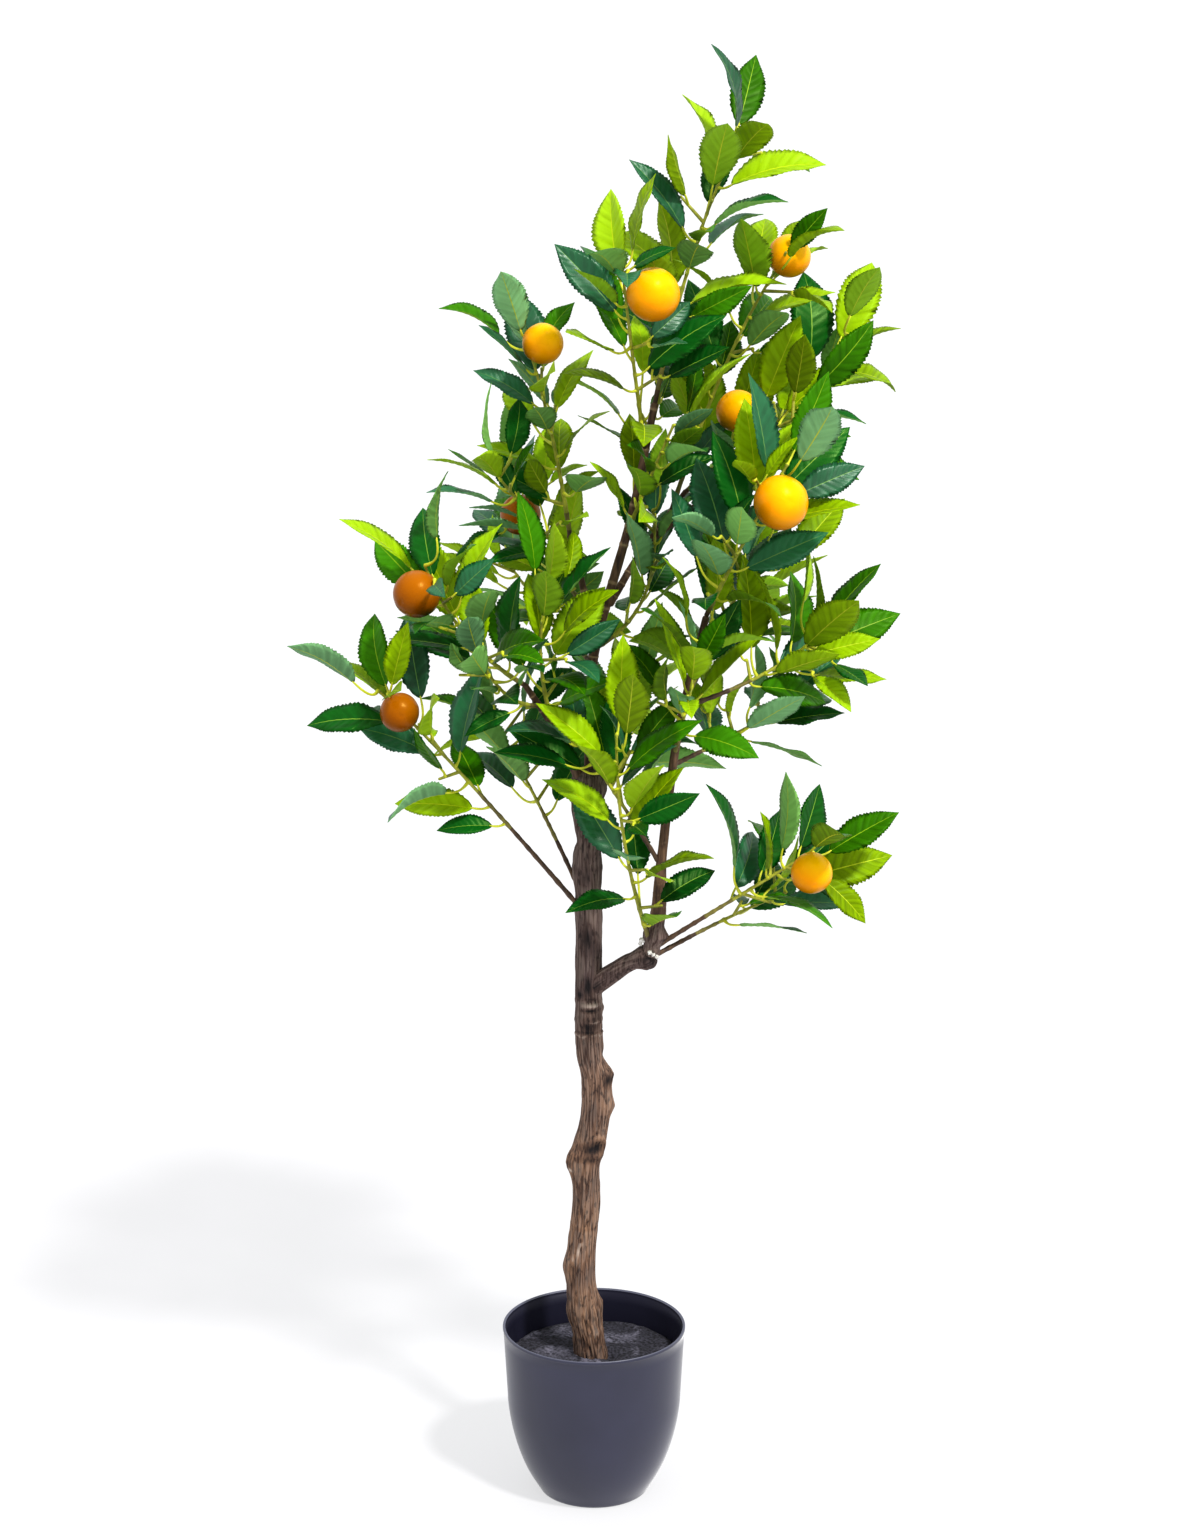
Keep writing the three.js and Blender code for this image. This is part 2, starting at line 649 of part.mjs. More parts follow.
// Each bough starts inside the limb that carries it, and is cut clear of it
const BEARERS = {
  trunk: [],
  side_arm: ["trunk"],
  right_bough: ["side_arm"],
  leader: ["trunk"],
  left_fork: ["leader"],
  right_fork: ["leader"],
  left_bough: ["trunk", "leader"],
};
Object.entries(BEARERS).forEach(([name, bearers]) => {
  const cut = bearers.reduce((a, b) => a.subtract(limbSolid(b, CLEAR)), limbSolid(name));
  addPiece(name, mainBody(cut), FINISH.bark);
});

const limbSpace = Object.keys(LIMBS).map((name) => limbSolid(name, CLEAR)).reduce((a, b) => a.add(b));
const space = spaceOfFrame();
MASSES.forEach((mass) => {
  const leaves = growLeaves(mass, space);
  addPiece(mass.name, massSolid(mass, leaves, limbSpace), leafFinish(mass.light));
});

export default tree;
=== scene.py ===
from collections import namedtuple
from math import atan2, cos, exp, hypot, pi, radians, sin

import bpy
import numpy as np
from mathutils import Euler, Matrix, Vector, noise


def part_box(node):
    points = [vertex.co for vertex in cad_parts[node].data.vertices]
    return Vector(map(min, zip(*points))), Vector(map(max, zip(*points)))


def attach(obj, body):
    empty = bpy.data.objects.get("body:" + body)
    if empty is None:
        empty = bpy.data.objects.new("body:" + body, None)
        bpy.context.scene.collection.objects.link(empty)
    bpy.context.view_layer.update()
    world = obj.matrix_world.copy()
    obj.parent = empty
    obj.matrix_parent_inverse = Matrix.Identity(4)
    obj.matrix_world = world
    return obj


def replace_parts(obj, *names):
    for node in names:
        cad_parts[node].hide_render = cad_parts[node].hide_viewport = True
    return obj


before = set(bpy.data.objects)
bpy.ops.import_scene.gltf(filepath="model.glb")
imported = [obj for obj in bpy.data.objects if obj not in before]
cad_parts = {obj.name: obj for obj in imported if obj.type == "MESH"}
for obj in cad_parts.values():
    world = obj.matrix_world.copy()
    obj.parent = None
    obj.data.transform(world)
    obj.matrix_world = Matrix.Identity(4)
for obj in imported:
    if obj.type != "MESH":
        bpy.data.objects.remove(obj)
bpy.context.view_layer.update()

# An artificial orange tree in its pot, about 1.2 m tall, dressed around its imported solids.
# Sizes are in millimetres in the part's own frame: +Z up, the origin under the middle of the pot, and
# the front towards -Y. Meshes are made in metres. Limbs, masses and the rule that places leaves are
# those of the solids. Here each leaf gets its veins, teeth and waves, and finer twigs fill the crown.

MM = 0.001

# Camera and light. The camera sees the tree as the photograph does.
CAMERA_PLACE = (5.0, -2600.0, 1300.0)
CAMERA_PITCH = radians(14.52)
CAMERA_LENS, CAMERA_SENSOR, CAMERA_REACH = 78.6, 36, 1000
SUN_TOWARDS = (-0.49, 0.64, -1.0)
SUN_STRENGTH = 2.95
SUN_ANGLE = radians(6)
SUN_COLOUR = (1.0, 0.98, 0.95)
SKY_STRENGTH = 1.04
SKY_COLOUR = (0.98, 0.985, 1.0, 1)
PRINT_GAMMA = 0.84
FLOOR_SIZE = 200000.0
FLOOR_GLOW = 0.67
FLOOR_GREYS = ((0.215, 0.215, 0.225, 1), (0.235, 0.235, 0.245, 1))

# Pot and fill
POT_HEIGHT = 146
POT_RIM_RADIUS = 75.9
POT_BELLY_RADIUS = 72.6
POT_BELLY_HEIGHT = 85
POT_FOOT_RADIUS = 40
POT_CURVE = 1.6
POT_FLARE = 4.5
POT_FLARE_HEIGHT = 3.5
POT_WALL = 3.5
RIM_WALL = 2
POT_FLOOR = 5
FILL_LEVEL = 120
FILL_GAP = 0.3
LIP_HEIGHT = 3.2
LIP_PROUD = 0.35
# The lip in section: outwards as a share of its bead, and down from its top in mm
LIP_OUTLINE = [(0.2, 3), (1, 2.5), (1, 0.6), (0.5, 0.15), (-0.6, 0), (-1.7, 0.05), (-2.3, 0.35), (-3.1, 0.6),
               (-4.1, 0.6), (-5, 0.9), (-5.4, 1.5), (-5.6, 3)]
# The foot in section: inwards from its radius, and up
FOOT_OUTLINE = [(6, 0.9), (4, 0.0), (1.1, 0.0), (0.3, 0.3)]
FOOT_ROUND = 1.5
FLOOR_ROUND = (3, 2)
# The pot's mesh: its sides, and its rows below the belly, which are closer together towards the foot,
# and above it
POT_SIDES, LOW_ROWS, LOW_CROWDING, HIGH_ROWS = 144, 26, 1.6, 8
# Where the rim's paler, glossier finish starts and ends on the lip, as points from its outer and inner
# end. Its paler colour is a painted highlight.
RIM_FROM, RIM_BEFORE = 2, 3
# The fill's surface: its mesh, its pits, the mound round the trunk, the drop at the wall and the hollow
# beside the trunk
FILL_SIDES, FILL_RINGS, FILL_DEPTH = 150, 46, 30
FILL_SINK = 0.6
PIT_DEPTH, PIT_WIDTH, PIT_SEED, PIT_FROM = 1.4 / 0.3, 4.3, 8, 0.42
MOUND_HEIGHT, MOUND_WIDTH = 2.4, 22
DROP_HEIGHT, DROP_WIDTH = 1.5, 2.5
HOLLOW_DEPTH, HOLLOW_PLACE, HOLLOW_SIZE = 6, (15, -4), (7, 9)

# Limbs: points along the axis with the radius at each, from the foot to the tip
LIMBS = {
    "trunk": (
        [(-1, 0, FILL_LEVEL), (-11, 0, 190), (-5, 0, 265), (2, 0, 350), (-4, 0, 400), (-4, 0, 500),
         (-5, 0, 621)],
        [14.5, 12.2, 11.4, 12, 11.3, 10.8, 11],
    ),
    "side_arm": ([(-4, 0, 440), (15, -9, 457), (31, -15, 469), (50, -20, 476)], [8.5, 7.5, 7, 8]),
    "right_bough": (
        [(46, -20, 478), (52, -23, 515), (55, -26, 566), (67, -33, 666), (88, -40, 760)],
        [9, 7.5, 4.2, 3.6, 3],
    ),
    "leader": (
        [(-2, 2, 615), (-1, 8, 681), (2, 10, 728), (29, 14, 825), (48, 18, 917)],
        [6.5, 4.5, 4, 3.4, 2.8],
    ),
    "left_fork": ([(0, 10, 717), (-4, 20, 750), (-19, 31, 810)], [3, 2.8, 2.5]),
    "right_fork": ([(13, 12, 758), (35, 34, 791), (74, 61, 840)], [3, 2.8, 2.4]),
    "left_bough": ([(-8, -2, 612), (-32, -12, 663), (-54, -19, 699)], [4.5, 3, 2.4]),
}

# Healed knobs on the trunk: height, direction round it in degrees from +X, and how far they stand out
TRUNK_KNOBS = [
    (160, 180, 2), (162, 0, 2), (199, 185, 2.6), (289, 175, 2.6), (301, 20, 2.6),
    (341, 0, 2.4), (366, 10, 2.2), (424, 270, 1.6), (556, 200, 1.4), (609, 180, 5), (611, 0, 5),
]
KNOB_HEIGHT = 10
KNOB_SPREAD = radians(48)

# Marks on bark (eyes, scars, pale chips, and hollows and knob undersides darkened as painted shade):
# height on the trunk or way along a bough, direction round it in degrees, half height, half width, how
# far the middle and the rim are raised, and the tone, which is darker below 0 and paler above
TRUNK_MARKS = [
    (308, 290, 7, 7, -1.2, 2.2, -0.95), (293, 180, 32, 15, 6, 0, 0), (291, 0, 31, 15, -4.6, 0, 0),
    (380, 0, 9, 10, -2.6, 0, 0), (425, 0, 5, 6, 1.8, 0, 0), (305, 262, 5, 12, -0.6, 0, -0.6),
    (540, 180, 15, 14, 2.6, 0, 0.1), (566, 180, 10, 14, -2.4, 0, -0.1), (567, 340, 6, 6, 1.6, 0.2, -0.7),
    (592, 185, 12, 12, 2.2, 0, 0), (580, 20, 8, 12, -1.2, 0, -0.2), (523, 10, 10, 10, -1.2, 0, 0),
    (366, 348, 5, 5, 2.4, 0.4, 0.1), (363, 325, 6, 8, -0.8, 0, -0.75), (341, 0, 5, 6, 1.5, 0.3, 0.1),
    (289, 188, 4.5, 4.5, 1.2, 0.5, -0.2), (284, 200, 2.2, 2, -0.5, 0.3, 0.9),
    (296, 265, 3, 9, -0.3, 0, -0.5), (411, 268, 9, 4.8, -0.5, 0.2, -1.0), (430, 280, 2.4, 8, 1.6, 0, 0.6),
    (415, 285, 1.6, 8, 0.5, 0, 0.5), (425.5, 280, 1.8, 8, -1.0, 0, -1.2),
    (435, 280, 1.4, 7, -0.5, 0, -0.6), (438, 225, 4.5, 4, -0.6, 0.3, -1.1),
    (446, 268, 10, 4, -1.5, 0, -1.4), (215, 256, 6, 2.5, 0.3, 0.1, 0.45), (207, 238, 4, 3, 0.3, 0.1, 0.4),
    (222, 266, 4, 2, 0.1, 0, 0.4), (199, 240, 4, 5, -0.4, 0.2, -0.4), (225, 262, 2, 1.5, -0.2, 0.1, -0.8),
    (486, 262, 13, 7, -0.4, 0, -0.85), (512, 200, 6, 5, 1.5, 0.3, 0.2), (538, 255, 8, 7, -0.3, 0, -0.5),
    (556, 300, 5, 6, 0.8, 0.3, -0.2), (575, 262, 9, 5, -0.4, 0, -0.5), (320, 280, 1.5, 1.5, -0.3, 0, -0.9),
    (126, 0, 22, 15, -3, 0, 0), (124, 180, 20, 13, 1.2, 0, 0), (141, 300, 6, 6, 0.9, 0, 0.1),
    (165, 15, 6, 7, 1.3, 0.2, -0.2), (150, 275, 5, 2.5, -0.6, 0.2, -0.7), (133, 255, 4, 2.5, -0.5, 0.2, -0.6),
]
# Rings round the trunk: height, how far each stands out, half its height, and its tone
TRUNK_RINGS = [
    (236, 0.2, 1.6, -0.1), (297, 0.7, 3, -0.15), (403, 0.55, 0.9, 0.3), (405.5, -0.35, 0.9, -0.45),
    (416, 0.5, 1.6, 0), (431, 0.5, 2, 0), (545, 0.45, 2.2, -0.1), (562, 0.5, 2, 0),
]
TRUNK_SIDES, TRUNK_STEPS, TRUNK_ROOT = 190, 430, 4

# Boughs that have the trunk's bark up to some way along: where that bark ends, the length of the bough's
# rounded end, how much thicker it is at places along it in mm, its marks and its rings
THICK_BOUGHS = {
    "side_arm": (
        1, 7, [(0, 0.5), (30, 0.3), (48, 0.4), (58, 2)],
        [(10, 262, 10, 6, -0.6, 0, -0.7), (66, 270, 9, 14, -0.3, 0.5, -0.75), (30, 290, 9, 4, -0.3, 0, -0.4)],
        [(58, 0.6, 5, 0)],
    ),
    "right_bough": (
        0.2, 2, [(0, -1), (12, -2), (24, 0), (32, 1.2), (40, 0.4), (50, -1.3), (62, -1.5), (95, -0.8),
                 (160, -0.3)],
        [(33, 5, 8, 9, 2.4, 0.3, -0.1), (28, 330, 4, 5, -0.5, 0, -0.6), (56, 180, 7, 6, 0.8, 0, -0.3)],
        [(24, 0.3, 5, 0), *((level, 0.35, 0.7, 0.5) for level in (66, 79, 96, 110, 131, 149, 170, 188))],
    ),
}
THICK_SIDES, THICK_STEP = 72, 1.1
# Past that bark: the way over which it fades, the share of its relief that is left, and the most that
# the end is rounded
BARK_FADE, TWIG_RELIEF, MOST_ROUND = 0.08, 0.35, 0.98

# Thin boughs: their mesh, and how far apart their ring marks stand, with each mark's half length, height
# and tone
BOUGH_SIDES, BOUGH_STEP = 28, 0.9
RING_EVERY = 15
RING_LENGTH, RING_HEIGHT, RING_TONE = 0.8, 0.4, 0.7

# Bark: the gap between its grooves, the length over which they wander and their width, then their depth
# and their painted shade, each high up and what is added at the foot, the tone between them, and the
# foot's height
GROOVE_GAP, GROOVE_RUN, GROOVE_WIDTH = 2.3, 34, 0.13
GROOVE_DEPTH, GROOVE_SHADE, BARK_TONE = (0.36, 0.2), (0.36, 0.45), 0.1
FOOT_FADE = 45
MARK_RIM, RIM_SPREAD, MARK_REACH = 1.05, 0.4, 2.5

# Lumps as rows: height, width across, length along Z and place in the noise. Those of limbs have their
# height as a share of the radius.
FILL_LUMPS = [(1.1, 17, 1, 1), (0.55, 5, 1, 2), (0.3, 1.9, 1, 3)]
BARK_LUMPS, FOOT_LUMPS = [(0.06, 5, 19, 9), (0.02, 2, 6, 0)], [(0.03, 2, 6, 0)]
FOOT_BREAKS = [(1.3, 1.5, 5, 0)]
BOUGH_LUMPS = [(0.05, 1.25, 14, 3), (0.07, 5, 13, 0)]

# A mass of foliage: where its stem grows, bends and ends, then how many leaves it has, the place where they
# start, their length, the share of light ones, the seeds of the leaves and of the finer twigs, and fruit
# as place, centre and diameter
Mass = namedtuple("Mass", "name limb at bend tip leaves first size light seed fine fruit", defaults=[()])
MASSES = [Mass(f"foliage_{name}", *row) for name, *row in [
    ("top", "leader", 1, (74, 13, 1050), (112, 4, 1122), 15, 0.2, 70, 0.6, 2219, 19),
    ("upper_front", "leader", 0.9, (28, -38, 970), (22, -46, 1030), 12, 0.15, 68, 0.45, 677, 98,
     ((0.8, (45, -66, 1012), 41),)),
    ("upper_left", "left_fork", 1, (-30, 9, 896), (-52, -2, 971), 15, 0.15, 64, 0.5, 237, 247,
     ((0.85, (-39, -18, 969), 32),)),
    ("left_back", "left_fork", 0.5, (-45, 75, 790), (-69, 84, 845), 9, 0.3, 62, 0.45, 143, 32,
     ((0.6, (-59, 62, 821), 33),)),
    ("left_mid", "left_bough", 1, (-105, -50, 736), (-130, -58, 803), 14, 0.15, 70, 0.5, 665, 357,
     ((0.88, (-136, -70, 783), 37),)),
    ("left_low", "trunk", 0.835, (-117, -50, 655), (-168, -54, 703), 10, 0.42, 66, 0.5, 90, 272,
     ((0.86, (-151, -64, 688), 31),)),
    ("left_inner", "trunk", 0.845, (-52, 24, 612), (-84, 38, 659), 9, 0.4, 64, 0.4, 289, 167),
    ("centre_left", "left_bough", 0.5, (-50, -46, 735), (-34, -50, 782), 11, 0.15, 66, 0.75, 867, 18),
    ("centre_front", "right_bough", 0.03, (16, -75, 588), (18, -84, 675), 15, 0.12, 68, 0.5, 387, 34),
    ("right_low", "right_bough", 0.02, (131, -37, 541), (174, -36, 567), 11, 0.42, 68, 0.5, 74, 152,
     ((0.95, (172, -58, 556), 33),)),
    ("right_low_back", "side_arm", 1, (108, 0, 503), (156, 12, 519), 5, 0.5, 64, 0.2, 199, 67),
    ("right_mid", "right_bough", 0.8, (143, -17, 704), (180, -12, 741), 12, 0.4, 68, 0.65, 854, 320),
    ("right_mid_back", "right_bough", 0.68, (100, 14, 643), (158, 26, 673), 7, 0.4, 64, 0.2, 162, 102),
    ("right_inner", "right_bough", 0.86, (99, 23, 738), (133, 38, 789), 10, 0.2, 66, 0.75, 815, 167),
    ("right_front", "right_bough", 1, (114, -62, 822), (148, -62, 882), 15, 0.12, 70, 0.35, 214, 160,
     ((0.75, (142, -92, 858), 42),)),
    ("right_upper", "right_fork", 1, (112, 40, 880), (158, 14, 906), 14, 0.12, 70, 0.65, 334, 16,
     ((0.7, (113, 20, 911), 34),)),
    ("right_top", "right_fork", 0.85, (108, 66, 968), (150, 44, 1028), 15, 0.25, 70, 0.6, 924, 149,
     ((0.85, (153, 40, 1030), 34),)),
    ("right_edge", "right_fork", 0.62, (136, 66, 868), (200, 48, 968), 10, 0.45, 70, 0.6, 190, 226),
    ("centre", "leader", 0.48, (57, 10, 753), (47, 26, 831), 10, 0.2, 64, 0.4, 320, 280),
    ("front_mid", "right_bough", 0.45, (15, -32, 619), (-15, -44, 665), 9, 0.35, 68, 0.4, 332, 185),
    ("centre_high", "leader", 0.72, (38, -8, 850), (62, -14, 905), 9, 0.2, 64, 0.6, 143, 54),
    ("left_front", "left_bough", 0.75, (-70, -60, 690), (-88, -76, 735), 9, 0.25, 66, 0.45, 657, 131),
    ("right_centre", "right_bough", 0.7, (72, -60, 690), (84, -74, 745), 10, 0.25, 66, 0.5, 345, 42),
    ("left_up", "left_fork", 0.75, (-50, 5, 830), (-78, -8, 868), 9, 0.25, 62, 0.5, 113, 82),
    ("back_left", "leader", 0.42, (-42, 110, 730), (-74, 150, 768), 10, 0.3, 66, 0.5, 431, 268),
    ("back_right", "right_bough", 0.82, (106, 100, 716), (140, 145, 761), 10, 0.3, 66, 0.5, 586, 95),
    ("back_top", "leader", 0.78, (51, 94, 915), (74, 112, 975), 10, 0.25, 66, 0.5, 812, 355),
    ("back_low", "trunk", 0.97, (18, 105, 602), (39, 140, 664), 9, 0.35, 66, 0.5, 370, 19),
]]

# The regions of the crown. Leaves and twigs of each are joined into one piece.
REGIONS = {
    "top": ["top", "upper_front", "right_top"],
    "upper_left": ["upper_left", "left_back", "left_up"],
    "left": ["left_mid", "left_low", "left_inner", "left_front", "centre_left"],
    "middle": ["centre_front", "front_mid", "centre", "centre_high", "right_centre"],
    "right": ["right_mid", "right_mid_back", "right_inner", "right_low", "right_low_back"],
    "upper_right": ["right_front", "right_upper", "right_edge"],
    "back": ["back_left", "back_right", "back_top", "back_low"],
}

# Drops of glue: centre and radius, then the mesh of each
GLUE_DROPS = [((38.5, -25, 490), 2.1), ((37.5, -25, 487), 1.5), ((45, -29, 481), 1.9), ((48, -29, 479), 1.5),
              ((51, -28, 477), 1.7), ((-16.5, -2, 513), 1.2), ((-17, -2, 510.5), 0.9)]
GLUE_RINGS, GLUE_SIDES = 14, 20

# The rule for leaves, as in the solids
LEAF_TURN = radians(137.5)
TURN_STRAY = (-0.4, 0.4)
OPEN_FOOT = radians(56)
OPEN_TIP = radians(36)
LEAN_STRAY = (-0.25, 0.25)
LAST_LEAN = 0.4
LIFT = 0.25
LENGTH_STRAY = (0.85, 1.15)
PETIOLE = (9, 15)
PETIOLE_ALONG = 1.2
SIDE_TWIG = (22, 34)
SIDE_TWIG_EVERY = 4
FACE_ALONG = 0.7
FACE_UP = 0.6
FACE_FRONT = 0.15
FACE_PARALLEL = 0.93
BLADE_WIDTH = (0.41, 0.51)
BLADE_ARCH = (0.1, 0.9)
BLADE_FOLD = (0.05, 0.25)
BLADE_ROLL = (-0.7, 0.7)
WIDEST_AT = 0.45
FOOT_CURVE = 0.83
TIP_CURVE = 1.0144
BLADE_GAP = (5.5, 9)
STALK_GAP = (4, 7)
STEM_GAP = (4.5, 8)
LIMB_GAP = 3
FRUIT_GAP = 3
TRIES = 18
TRY_SHRINK = 0.02
TRY_WIDEN = 0.5
SAMPLE_ALONG, SAMPLE_ACROSS = (grid.ravel() for grid in np.meshgrid(
    [0.02, 0.19, 0.36, 0.52, 0.68, 0.84, 1], [-0.9, -0.3, 0.3, 0.9], indexing="ij"))
STALK_SAMPLES = np.array([0.25, 0.5, 0.75, 1])
STEM_SAMPLES = 30
LIMB_SAMPLES = 6
TRUNK_SAMPLES = 10
WIDEST_GAP = 26
# The owner of points that are on a limb and not on a mass
LIMB = -1

# Finer twigs that the solids leave out: how many a mass has, their size, and their leaves, each with its
# place along the twig and its swing round it
FINE_TWIGS = 4
FINE_TRIES = 6
FINE_SEED = 5000
FINE_LEAVES = ((1, 0.0), (0.7, 2.4))
FINE_LENGTH = (16, 32)
FINE_LEAN = (0.6, 1.15)
FINE_SIZE = (0.55, 0.85)
FINE_LEAN_LAST = 0.3
FINE_LEAN_SIDE = (0.7, 1.0)
FINE_PETIOLE = (5, 9)
FINE_GAP = 0.85
FINE_BOX = 8
FINE_RADII = (1.5, 1.1)
LOW_SEED = 9000

# Leaves low on a stem, which the solids leave out too: where each stands along the stem, which way it
# points, its length, and whether it is light
LOW_LEAVES = {
    "foliage_left_low": [
        (0.32, (-1, -0.2, -0.1), 46, False),
        (0.385, (-1, 0.1, -0.12), 66, True),
    ],
}

# A dressed blade: places of its veins and of its points across, teeth, fold and tip
VEINS = np.linspace(0.085, 0.86, 9)
VEIN_WIDTH = 0.006
VEIN_SINK = 0.17
ROW_SLANT = 0.7
ACROSS = np.array([-1, -0.68, -0.36, -0.025, 0.025, 0.36, 0.68, 1])
END_ROWS = ([0.014, 0.045], [0.955, 0.977, 0.995])
ROWS_BETWEEN_VEINS, LAST_VEIN_ROOM = 4, 0.95
TOOTH = (-0.035, 0.075)
DRESSED_FOLD = 1.6
DRESSED_WIDTH = 0.9
TIP_WAIST = 0.2
TIP_REACH = 0.17
# Tones over a blade: from leaf to leaf, from foot to tip as painted shade at the foot and painted light at
# the tip, on the veins, at the margin as painted light with painted shade towards the midrib, and streaks
LEAF_TONE = (-0.75, 0.85)
VEIN_TONE = 0.26
STREAK_TONE = 0.15
MARGIN_SHADE = 0.3
FOOT_SHADE_RISE, FOOT_SHADE_MIDDLE, MARGIN_MEAN = 0.5, 0.55, 0.3
VEIN_REACH = 0.2
STREAK_COUNT, STREAK_LAG = 43, 1.7
# How it twists and waves, its thickness, and the rib under it
TWIST = (-0.35, 0.35)
WAVE_SIZE = (0.3, 1.4)
WAVE_COUNT = (1.4, 2.6)
THICKNESS = 0.45
MIDRIB_SINK = 0.15
RIB_FOOT = 1.0
RIB_TIP = 0.15
RIB_HALF = 0.1
WAVE_LAG = 0.25

# The materials of twigs and of fruit, in their order, and the shares of the kinds of leaf
BROWN, GREEN, PETIOLE_GREEN, OLIVE = range(4)
PEEL, CALYX, SHADED_PEEL = range(3)
YELLOW_SHARE, DARK_SHARE = 0.6, 0.65
DRESS_SEED = 77

# Stalks: places along them and the radius at each
PETIOLE_RADII = ([0, 0.12, 0.3, 0.8, 1], [1.6, 1.45, 0.95, 0.95, 0.7])

# Stems: their radius at places along them, the swellings where leaves stand, the gaps between the scars
# of old ones, and how much of the bare part is brown
STEM_STEPS, STEM_SIDES = 70, 10
STEM_RADII = ([0, 0.4, 1], [2, 1.35, 1])
SWELLING, SWELLING_LENGTH = 0.4, 1.5
SCAR_GAP, SCARS = (6, 12), 12
BROWN_SHARE, BROWN_SHARE_SHORT, SHORT_BARE = (0.5, 0.7), 0.15, 0.3
OLIVE_SHARE, OLIVE_LEAST = 0.25, 0.05

# Fruit: its mesh, pores and lumps as height and width, dimples at the stalk and below as angle, depth
# and width, how much it is flattened, its tone as painted light towards the lit side and painted shade
# away from it, and where the fruit painted darker as shade starts
FRUIT_RINGS, FRUIT_SIDES = 40, 60
PORES, PEEL_LUMPS = (0.13, 1.15), (0.35, 1.6)
DIMPLES = (0, 1.5, 0.26), (pi, 0.7, 0.12)
FRUIT_FLAT = 0.03
LIT_SIDE_TONE = (1.3, -0.35)
SHADED_LEFT_OF = -50
# The calyx: its lobes, and its radius at levels above its seat
CALYX_SIDES, CALYX_LOBES, LOBE_DEPTH = 20, 5, 0.34
CALYX_LEVELS = np.array([-0.4, 0.5, 1.2, 2.2])
CALYX_RADII = np.array([4.2, 4.0, 2.4, 1.3])
SEAT_SHARE, SEAT_SINK = 0.97, 1.4
FRUIT_STALK, STALK_BEND = 1.15, 0.15

# Rounded ends of tubes: how far out they reach and how thick they are, as shares of the radius
END_REACH, END_RADIUS = 0.5, 0.55

UP = np.array([0.0, 0.0, 1.0])
BACK = np.array([0.0, 1.0, 0.0])
LIT_SIDE = np.array([0.36, -0.48, 0.8])


class Draw:
    """Random numbers that are the same in every run and in the solids."""

    def __init__(self, seed):
        self.state = (seed * 7919 + 104729) % 2**32

    def next(self):
        self.state = (self.state * 1664525 + 1013904223) % 2**32
        return self.state / 2**32

    def between(self, low, high):
        return low + (high - low) * self.next()


def unit(v):
    return v / np.linalg.norm(v, axis=-1, keepdims=True)


def square_to(direction, axis):
    """The part of a direction that is square to another."""
    return unit(direction - axis * (direction * axis).sum(-1, keepdims=True))


def mix(a, b, share):
    return a + (b - a) * share


# Meshes
def add_object(name, data):
    """A new object, linked to the scene."""
    item = bpy.data.objects.new(name, data)
    bpy.context.scene.collection.objects.link(item)
    return item


class Build:
    """Gathers the points and faces of one joined mesh, in millimetres."""

    def __init__(self):
        self.points = []
        self.tones = []
        self.faces = []
        self.looks = []
        self.count = 0

    def add(self, points, *groups, tones=0.0):
        """Points, and groups of faces on them with the material index of each group or face. tones
        darken the surface below 0 and make it paler above."""
        for faces, look in groups:
            self.faces.extend((np.asarray(faces) + self.count).tolist())
            self.looks.extend(np.broadcast_to(look, len(faces)).tolist())
        self.points.append(points)
        self.tones.append(np.broadcast_to(tones, len(points)))
        self.count += len(points)

    def make(self, name, slot, materials):
        """One object that rides on the tree's body. slot is not used."""
        mesh = bpy.data.meshes.new(name)
        mesh.from_pydata(np.concatenate(self.points) * MM, [], self.faces)
        mesh.polygons.foreach_set("material_index", self.looks)
        mesh.polygons.foreach_set("use_smooth", [True] * len(self.faces))
        tone = mesh.attributes.new("tone", "FLOAT", "POINT")
        tone.data.foreach_set("value", np.concatenate(self.tones))
        for material in materials:
            mesh.materials.append(material)
        piece = add_object(name, mesh)
        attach(piece, "root")
        return piece


def quads(index):
    """Faces between the rows and columns of a grid of point numbers."""
    return np.stack([index[:-1, :-1], index[:-1, 1:], index[1:, 1:], index[1:, :-1]], -1).reshape(-1, 4)


def even_turns(sides):
    """Angles spread evenly round a circle."""
    return 2 * pi * np.arange(sides) / sides


def add_rings(build, points, sides, look=0, tones=0.0):
    """A skin over rings of points, closed flat at both ends. look has one value or one a gap."""
    index = np.arange(len(points)).reshape(-1, sides)
    looks = np.broadcast_to(look, len(index) - 1)
    build.add(
        points,
        (quads(np.hstack([index, index[:, :1]])), np.repeat(looks, sides)),
        ([index[0, ::-1]], looks[0]),
        ([index[-1]], looks[-1]),
        tones=tones,
    )


def tube(build, centres, radii, sides, look=0, round_ends=True, tones=None):
    """A closed tube. radii has one value a ring or one a point, and look one value or one a gap."""
    centres = np.asarray(centres, float)
    radii = np.asarray(radii, float)
    radii = np.broadcast_to(radii[:, None] if radii.ndim == 1 else radii, (len(centres), sides))
    tones = np.zeros(radii.shape) if tones is None else tones
    axes = unit(np.gradient(centres, axis=0))
    normals = [square_to(BACK if abs(axes[0][1]) < 0.9 else UP, axes[0])]
    for axis in axes[1:]:
        normals.append(square_to(normals[-1], axis))
    normals = np.array(normals)
    if round_ends:
        low, high = radii[0].mean() * END_REACH, radii[-1].mean() * END_REACH
        centres = np.vstack([centres[0] - axes[0] * low, centres, centres[-1] + axes[-1] * high])
        radii = np.vstack([radii[0] * END_RADIUS, radii, radii[-1] * END_RADIUS])
        axes, normals, tones = (np.vstack([rows[:1], rows, rows[-1:]]) for rows in (axes, normals, tones))
        if np.ndim(look):
            look = np.concatenate([look[:1], look, look[-1:]])
    turns = even_turns(sides)[:, None]
    out = np.cos(turns) * normals[:, None] + np.sin(turns) * np.cross(axes, normals)[:, None]
    points = centres[:, None] + radii[..., None] * out
    add_rings(build, points.reshape(-1, 3), sides, look, tones.ravel())


